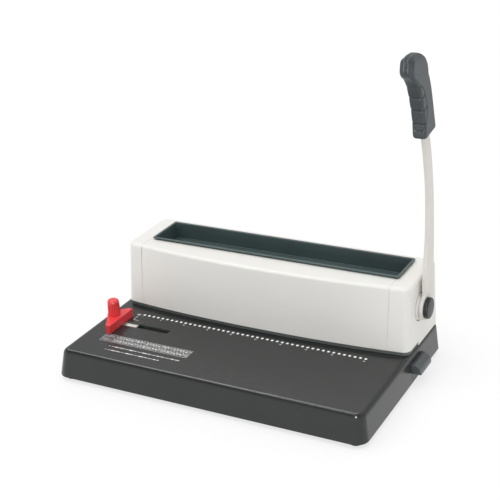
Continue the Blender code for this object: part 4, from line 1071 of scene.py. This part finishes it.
def makeSlide():
    # The white slide in the slot: a rib that runs down to a thin tongue at its right end
    low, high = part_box("guide_slide")
    ramp = guide["rampLength"]
    front = slotY - base["slotWidth"] / 2 + guide["slideGap"]
    start = high.x - guide["slideShows"]
    end = high.x - guide["rampShort"]
    top = high.z
    foot = top - guide["ribDeep"]
    drop = guide["rampDrop"]
    under = top - guide["ribUnder"]
    profile = [(low.x, foot), (end, foot), (end, top - drop), (end - ramp * 0.5, top - drop * 0.4),
               (end - ramp, top), (start, top), (start, under), (low.x, under)]
    rib = plate("guideSlide", profile, (front, front + guide["slideWidth"]), "y")
    flange = brick("flange", (low.x, low.y, low.z), (high.x, high.y, low.z + guide["flange"]))
    stud = guide["studRadius"]
    bore = [(0, top + 0.01), (stud, top + 0.01), (stud, low.z - 0.01), (0, low.z - 0.01)]
    hole = turned("studHole", bore, (knobX, knobY, 0), steps=24)
    rib = carve(rib, flange, operation="UNION")
    rib = carve(rib, hole)
    wear(rib, "white", "guide", "slide_white", "guide_slide")


makeGuide()
makeSlide()
print("edge guide made")


# Drawer pull: a quarter-round hood with a finger hollow under it
pull = {"wall": 0.0022, "flange": 0.002, "frontRound": 0.0007, "rearRound": 0.0032, "rounds": 6}


def makePull():
    low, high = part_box("drawer_pull")
    radius = high.x - low.x - pull["flange"]
    flat = low.x + pull["flange"]

    def section(inset):
        top = high.z - inset
        reach = high.x - inset
        bend = radius - inset
        rounded = arc((flat, top - bend), bend, 88, 0, 14)
        return [(low.x, top), (flat, top), *rounded, (reach, low.z + inset), (low.x, low.z + inset)]

    stations = []
    for end, side, size in ((low.y, 1, pull["frontRound"]), (high.y, -1, pull["rearRound"])):
        part = [(end + side * size * (1 - math.cos(turn)), size * (1 - math.sin(turn)))
                for turn in quarter(pull["rounds"])]
        stations += part if side > 0 else part[::-1]
    hood = loft("drawerPull", [[(x, y, z) for x, z in section(inset)] for y, inset in stations])
    wall = pull["wall"]
    hollow = arc((flat, high.z - radius), radius - wall, 88, 0, 12)
    hollow += [(high.x - wall, low.z - 0.004), (flat, low.z - 0.004)]
    scoop = plate("scoop", hollow, (low.y + wall, high.y - wall), "y")
    hood = carve(hood, scoop)
    wear(hood, "pull", "drawer", "grip_grey", "drawer_pull", sharp=42)


def makeDrawerPanel():
    low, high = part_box("drawer_front")
    share = base["rightDraft"] / (baseHigh.z - baseLow.z)
    topX = high.x - share * (high.z - low.z)
    work = bmesh.new()
    bmesh.ops.create_cube(work, size=1.0)
    for vert in work.verts:
        outer = topX if vert.co.z > 0 else high.x
        vert.co = Vector((outer if vert.co.x > 0 else low.x, high.y if vert.co.y > 0 else low.y,
                          high.z if vert.co.z > 0 else low.z))
    panel = soften(meshObject("drawerPanel", work), 0.0003, 2)
    wear(panel, "casing", "drawer", "base_black", "drawer_front")


makePull()
makeDrawerPanel()
print("drawer front made")


# Feet, and cross-headed screws at the back and underneath
small = {"footRounding": 0.0025, "crossWidth": 0.0009, "crossShare": 1.25, "crossDepth": 0.0009}


def makeFeet():
    for corner in ("front_left", "front_right", "rear_left", "rear_right"):
        low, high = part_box("foot_" + corner)
        radius = (high.x - low.x) / 2
        edge = small["footRounding"]
        profile = [(0, high.z), (radius - 0.0003, high.z), (radius, high.z - 0.0003)]
        profile += [(radius - edge + edge * math.cos(turn), low.z + edge - edge * math.sin(turn))
                    for turn in quarter(8)]
        profile += [(0.0028, low.z), (0.0022, low.z + 0.0006), (0.0, low.z + 0.0006)]
        centre = (low + high) / 2
        foot = turned("foot_" + corner.replace("_", "-"), profile, (centre.x, centre.y, 0), steps=48)
        wear(foot, "foot", "machine", "rubber", "foot_" + corner, sharp=40)


def makeScrew(name, node, facing):
    low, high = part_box(node)
    centre = (low + high) / 2
    radius = (high.x - low.x) / 2
    if facing == "y":
        start = (centre.x, low.y, centre.z)
        height = high.y - low.y
    else:
        start = (centre.x, centre.y, high.z)
        height = high.z - low.z
    profile = [(0, height)]
    profile += [(radius * math.sin(turn), height * (0.45 + 0.55 * math.cos(turn)))
                for turn in quarter(7, 1)]
    profile += [(radius, 0.0), (0, 0.0)]
    head = turned(name, profile, start, "y" if facing == "y" else "-z", steps=36)
    half = small["crossWidth"] / 2
    reach = radius * small["crossShare"] / 2
    deep = small["crossDepth"]
    for first, second in ((half, reach), (reach, half)):
        if facing == "y":
            tool = brick("cross", (centre.x - first, high.y - deep, centre.z - second),
                         (centre.x + first, high.y + deep, centre.z + second))
        else:
            tool = brick("cross", (centre.x - first, centre.y - second, low.z - deep),
                         (centre.x + first, centre.y + second, low.z + deep))
        head = carve(head, tool)
    wear(head, "oxide", "machine", "dark_steel", node, sharp=35)


makeFeet()
for side in ("left", "right"):
    for level in ("low", "high"):
        makeScrew("coverScrew_%s_%s" % (side, level), "cover_screw_%s_%s" % (side, level), "y")
    for row in ("front", "rear"):
        makeScrew("baseScrew_%s_%s" % (row, side), "base_screw_%s_%s" % (row, side), "z")
print("feet and screws made")


# Printing on the base: hole scale with plain numbers, a paper-edge mark and a plain table of cells
printing = {
    "film": 0.00003, "lift": 0.00002, "pitch": 0.00635, "count": 46, "firstX": -0.14312, "lineY": -0.0030,
    "dotWidth": 0.0033, "dotDepth": 0.0035, "numberSize": 0.0027, "numberDrop": 0.0050,
    "tableLeft": -0.0159, "tableRight": 0.1005, "tableFront": -0.0727, "tableRear": -0.0570,
    "tableSplit": 0.0, "columns": 25, "rule": 0.00030, "cellNumber": 0.0060, "cellWeight": 0.010,
    "markWidth": 0.0024, "markDepth": 0.0021, "leaderWidth": 0.0004, "labelHalf": 0.0003, "labelGap": 0.0012,
    "bullet": 0.0007, "wordGap": 0.0011,
    "textLines": [(0.0070, 0.0980, -0.0812), (0.0070, 0.0750, -0.0893)], "textHeight": 0.00085,
}
printZ = baseHigh.z + printing["lift"]


def filmPiece(name, patches, paintName):
    # Thin printed patches, each an outline in the plane of the base's top
    work = bmesh.new()
    for outline in patches:
        low = [work.verts.new((x, y, printZ)) for x, y in outline]
        high = [work.verts.new((x, y, printZ + printing["film"])) for x, y in outline]
        work.faces.new(low[::-1])
        work.faces.new(high)
        for step in range(len(outline)):
            after = (step + 1) % len(outline)
            work.faces.new((low[step], low[after], high[after], high[step]))
    wear(meshObject(name, work), paintName, "machine", "base_black")


def strip(x0, y0, x1, y1):
    return [(x0, y0), (x1, y0), (x1, y1), (x0, y1)]


def ruled(start, end, width):
    along = (Vector(end) - Vector(start)).normalized()
    across = Vector((-along.y, along.x)) * (width / 2)
    corners = [Vector(start) - across, Vector(end) - across, Vector(end) + across, Vector(start) + across]
    return [(corner.x, corner.y) for corner in corners]


def numbers(name, entries, size, paintName, weight=0.012):
    pieces = []
    for text, x, y in entries:
        curve = bpy.data.curves.new(name, "FONT")
        curve.body = text
        curve.size = size
        curve.align_x = "CENTER"
        curve.align_y = "CENTER"
        curve.extrude = printing["film"] / 2
        curve.offset = size * weight
        curve.resolution_u = 3
        item = bpy.data.objects.new(name, curve)
        bpy.context.scene.collection.objects.link(item)
        item.location = (x, y, printZ + printing["film"] / 2)
        pieces.append(settle(item, name))
    work = bmesh.new()
    for piece in pieces:
        work.from_mesh(piece.data)
        bpy.data.objects.remove(piece, do_unlink=True)
    wear(meshObject(name, work), paintName, "machine", "base_black")


def makeScale():
    left = printing["firstX"]
    line = printing["lineY"]
    dots = []
    for index in range(printing["count"]):
        centre = left + printing["pitch"] * index
        ring = circle((0, 0), 0.5, 20)
        dots.append([(centre + u * printing["dotWidth"], line + v * printing["dotDepth"]) for u, v in ring])
    filmPiece("scaleDots", dots, "ink")
    entries = [(str(number), left + printing["pitch"] * (number - 1), line - printing["numberDrop"])
               for number in [1, *range(5, printing["count"] - 1, 5), printing["count"]]]
    numbers("scaleNumbers", entries, printing["numberSize"], "ink")
    marker = [(left - 0.0071 + u * printing["markWidth"], line - 0.0016 + v * printing["markDepth"])
              for u, v in circle((0, 0), 1.0, 24)]
    filmPiece("edgeMark", [marker], "greyInk")
    points = [(left - 0.0062, line - 0.0045), (left - 0.0066, line - 0.0150), (left + 0.0010, line - 0.0150)]
    leader = [ruled(start, end, printing["leaderWidth"]) for start, end in zip(points, points[1:])]
    filmPiece("edgeMarkLeader", leader, "ink")


def makeTable():
    shiftX = printing["firstX"]
    shiftY = printing["lineY"]
    left = shiftX + printing["tableLeft"]
    right = shiftX + printing["tableRight"]
    front = shiftY + printing["tableFront"]
    rear = shiftY + printing["tableRear"]
    split = shiftX + printing["tableSplit"]
    rule = printing["rule"]
    middle = (front + rear) / 2
    width = (right - split) / printing["columns"]
    rules = [strip(left, y - rule / 2, right, y + rule / 2) for y in (front, middle, rear)]
    uprights = [left] + [split + width * step for step in range(printing["columns"] + 1)]
    rules += [strip(x - rule / 2, low + rule / 2, x + rule / 2, high - rule / 2)
              for x in uprights for low, high in ((front, middle), (middle, rear))]
    filmPiece("tableRules", rules, "ink")
    entries = []
    for step in range(printing["columns"]):
        centre = split + width * (step + 0.5)
        entries.append((str(1 + step % 9), centre, (middle + rear) / 2))
        entries.append((str(2 + 3 * step % 8), centre, (front + middle) / 2))
    numbers("tableNumbers", entries, printing["cellNumber"], "ink", printing["cellWeight"])
    labels = []
    half = printing["labelHalf"]
    for row in ((middle + rear) / 2, (front + middle) / 2):
        for y in (row + printing["labelGap"], row - printing["labelGap"]):
            labels.append(strip(left + 0.0016, y - half, split - 0.0022, y + half))
    filmPiece("tableLabels", labels, "ink")
    bars = []
    for start, end, y in printing["textLines"]:
        place = start
        step = 0
        bullet = circle((0, 0), printing["bullet"], 12)
        bars.append([(shiftX + start - 0.0030 + u, shiftY + y + v) for u, v in bullet])
        while place < end:
            length = 0.0034 + 0.0031 * ((step * 7) % 5) / 4
            stop = min(place + length, end)
            tall = printing["textHeight"] * (0.40 + 0.25 * ((step * 5) % 3))
            bars.append(strip(shiftX + place, shiftY + y - tall, shiftX + stop, shiftY + y + tall))
            place = stop + printing["wordGap"]
            step += 1
    filmPiece("plainLines", bars, "ink")


makeScale()
makeTable()
print("printing made")


# Studio: pale floor, soft light all round and the photograph's viewpoint
studio = {
    "lens": 82.79, "eye": (0.573599, -1.018932, 0.658445),
    "right": (0.883355, 0.465457, -0.05508), "down": (0.142702, -0.379018, -0.91432),
    "ahead": (-0.446453, 0.79981, -0.401229),
    "skyLight": 0.61, "overheadStrength": 1.60, "overheadAngle": 75, "overheadFrom": (-0.12, -0.28, 1.0),
    "shades": [((0.25, -0.75, 0.60), 0.45, 0.85, 0.65), ((0.70, 0.55, 0.45), 0.72, 0.92, 0.35),
               ((-0.45, -0.50, 0.74), 0.74, 0.93, 0.80), ((-0.90, 0.40, 0.20), 0.72, 0.95, 0.45)],
    "gleams": [("keyGleam", (0.31, -1.48, 1.49), (0.28, 0.28), 22.0),
               ("longGleam", (-0.62, -0.22, 1.5), (1.8, 0.30), 7.0),
               ("cornerGleam", (0.45, -1.50, 0.36), (0.26, 0.20), 120.0)],
    "floorColour": (0.96, 0.96, 0.96), "floorGlow": 0.72, "floorSize": 12.0,
}


def makeCamera():
    camera = bpy.data.cameras.new("camera")
    camera.lens = studio["lens"]
    camera.sensor_width = 36.0
    camera.clip_start = 0.05
    item = bpy.data.objects.new("camera", camera)
    bpy.context.scene.collection.objects.link(item)
    right, down, ahead = (Vector(studio[key]) for key in ("right", "down", "ahead"))
    turn = Matrix((right, -down, -ahead)).transposed().to_4x4()
    item.matrix_world = Matrix.Translation(studio["eye"]) @ turn
    bpy.context.scene.camera = item


def makeSky():
    # White to the camera, softer as a light, and with darker sides of the room in reflections
    world = bpy.data.worlds.new("studio")
    bpy.context.scene.world = world
    world.use_nodes = True
    sky = Graph(world.node_tree)
    diffuse = sky.add("ShaderNodeLightPath", out="Is Diffuse Ray")
    glossy = sky.add("ShaderNodeLightPath", out="Is Glossy Ray")
    way = sky.add("ShaderNodeTexCoord", out="Generated")
    light = 1 - diffuse * (1 - studio["skyLight"])
    for towards, start, full, depth in studio["shades"]:
        aim = tuple(Vector(towards).normalized())
        facing = sky.add("ShaderNodeVectorMath", {"operation": "DOT_PRODUCT"}, {0: way, 1: aim}, out="Value")
        light = light * (1 - glossy * facing.between(start, full) * depth)
    background = sky.nodes["Background"]
    background.inputs["Color"].default_value = (1.0, 1.0, 1.0, 1.0)
    sky.plug(background.inputs["Strength"], light)


def makeLamp(name, kind, place, aimAt, **settings):
    light = bpy.data.lights.new(name, kind)
    for key, value in settings.items():
        setattr(light, key, value)
    lamp = bpy.data.objects.new(name, light)
    bpy.context.scene.collection.objects.link(lamp)
    lamp.location = place
    lamp.rotation_euler = (Vector(aimAt) - Vector(place)).to_track_quat("-Z", "Y").to_euler()
    return lamp


def makeFloor():
    # Pale floor that stays near white to the camera and keeps a soft shadow
    work = bmesh.new()
    half = studio["floorSize"] / 2
    corners = ((-half, -half), (half, -half), (half, half), (-half, half))
    work.faces.new([work.verts.new((x, y, 0)) for x, y in corners])
    floor = meshObject("floor", work)
    paint = Paint("paleFloor", studio["floorColour"], 0.9, Specular_IOR_Level=0.0)
    camera = paint.add("ShaderNodeLightPath", out="Is Camera Ray")
    glossy = paint.add("ShaderNodeLightPath", out="Is Glossy Ray")
    clear = paint.add("ShaderNodeLightPath", out="Is Transmission Ray")
    white = paint.add("ShaderNodeEmission", None, {"Color": (1.0, 1.0, 1.0, 1.0), "Strength": 1.0})
    share = camera * studio["floorGlow"] + glossy + clear
    surface = Wire(paint, paint.shader.outputs[0])
    mix = paint.add("ShaderNodeMixShader", None, {0: share, 1: surface, 2: white})
    paint.plug(paint.nodes["Material Output"].inputs["Surface"], mix)
    floor.data.materials.append(paint.material)


def makeStudio():
    makeCamera()
    makeSky()
    makeFloor()
    overhead = makeLamp("overhead", "SUN", studio["overheadFrom"], (0, 0, 0),
                        energy=studio["overheadStrength"], angle=math.radians(studio["overheadAngle"]))
    overhead.visible_glossy = False
    for name, place, size, radiance in studio["gleams"]:
        power = radiance * math.pi * size[0] * size[1]
        lamp = makeLamp(name, "AREA", place, (place[0] * 0.4, 0, 0), energy=power, shape="RECTANGLE",
                        size=size[0], size_y=size[1])
        lamp.visible_diffuse = False   # seen in gloss only
    bpy.context.scene.view_settings.view_transform = "Standard"


makeStudio()
print("studio ready")
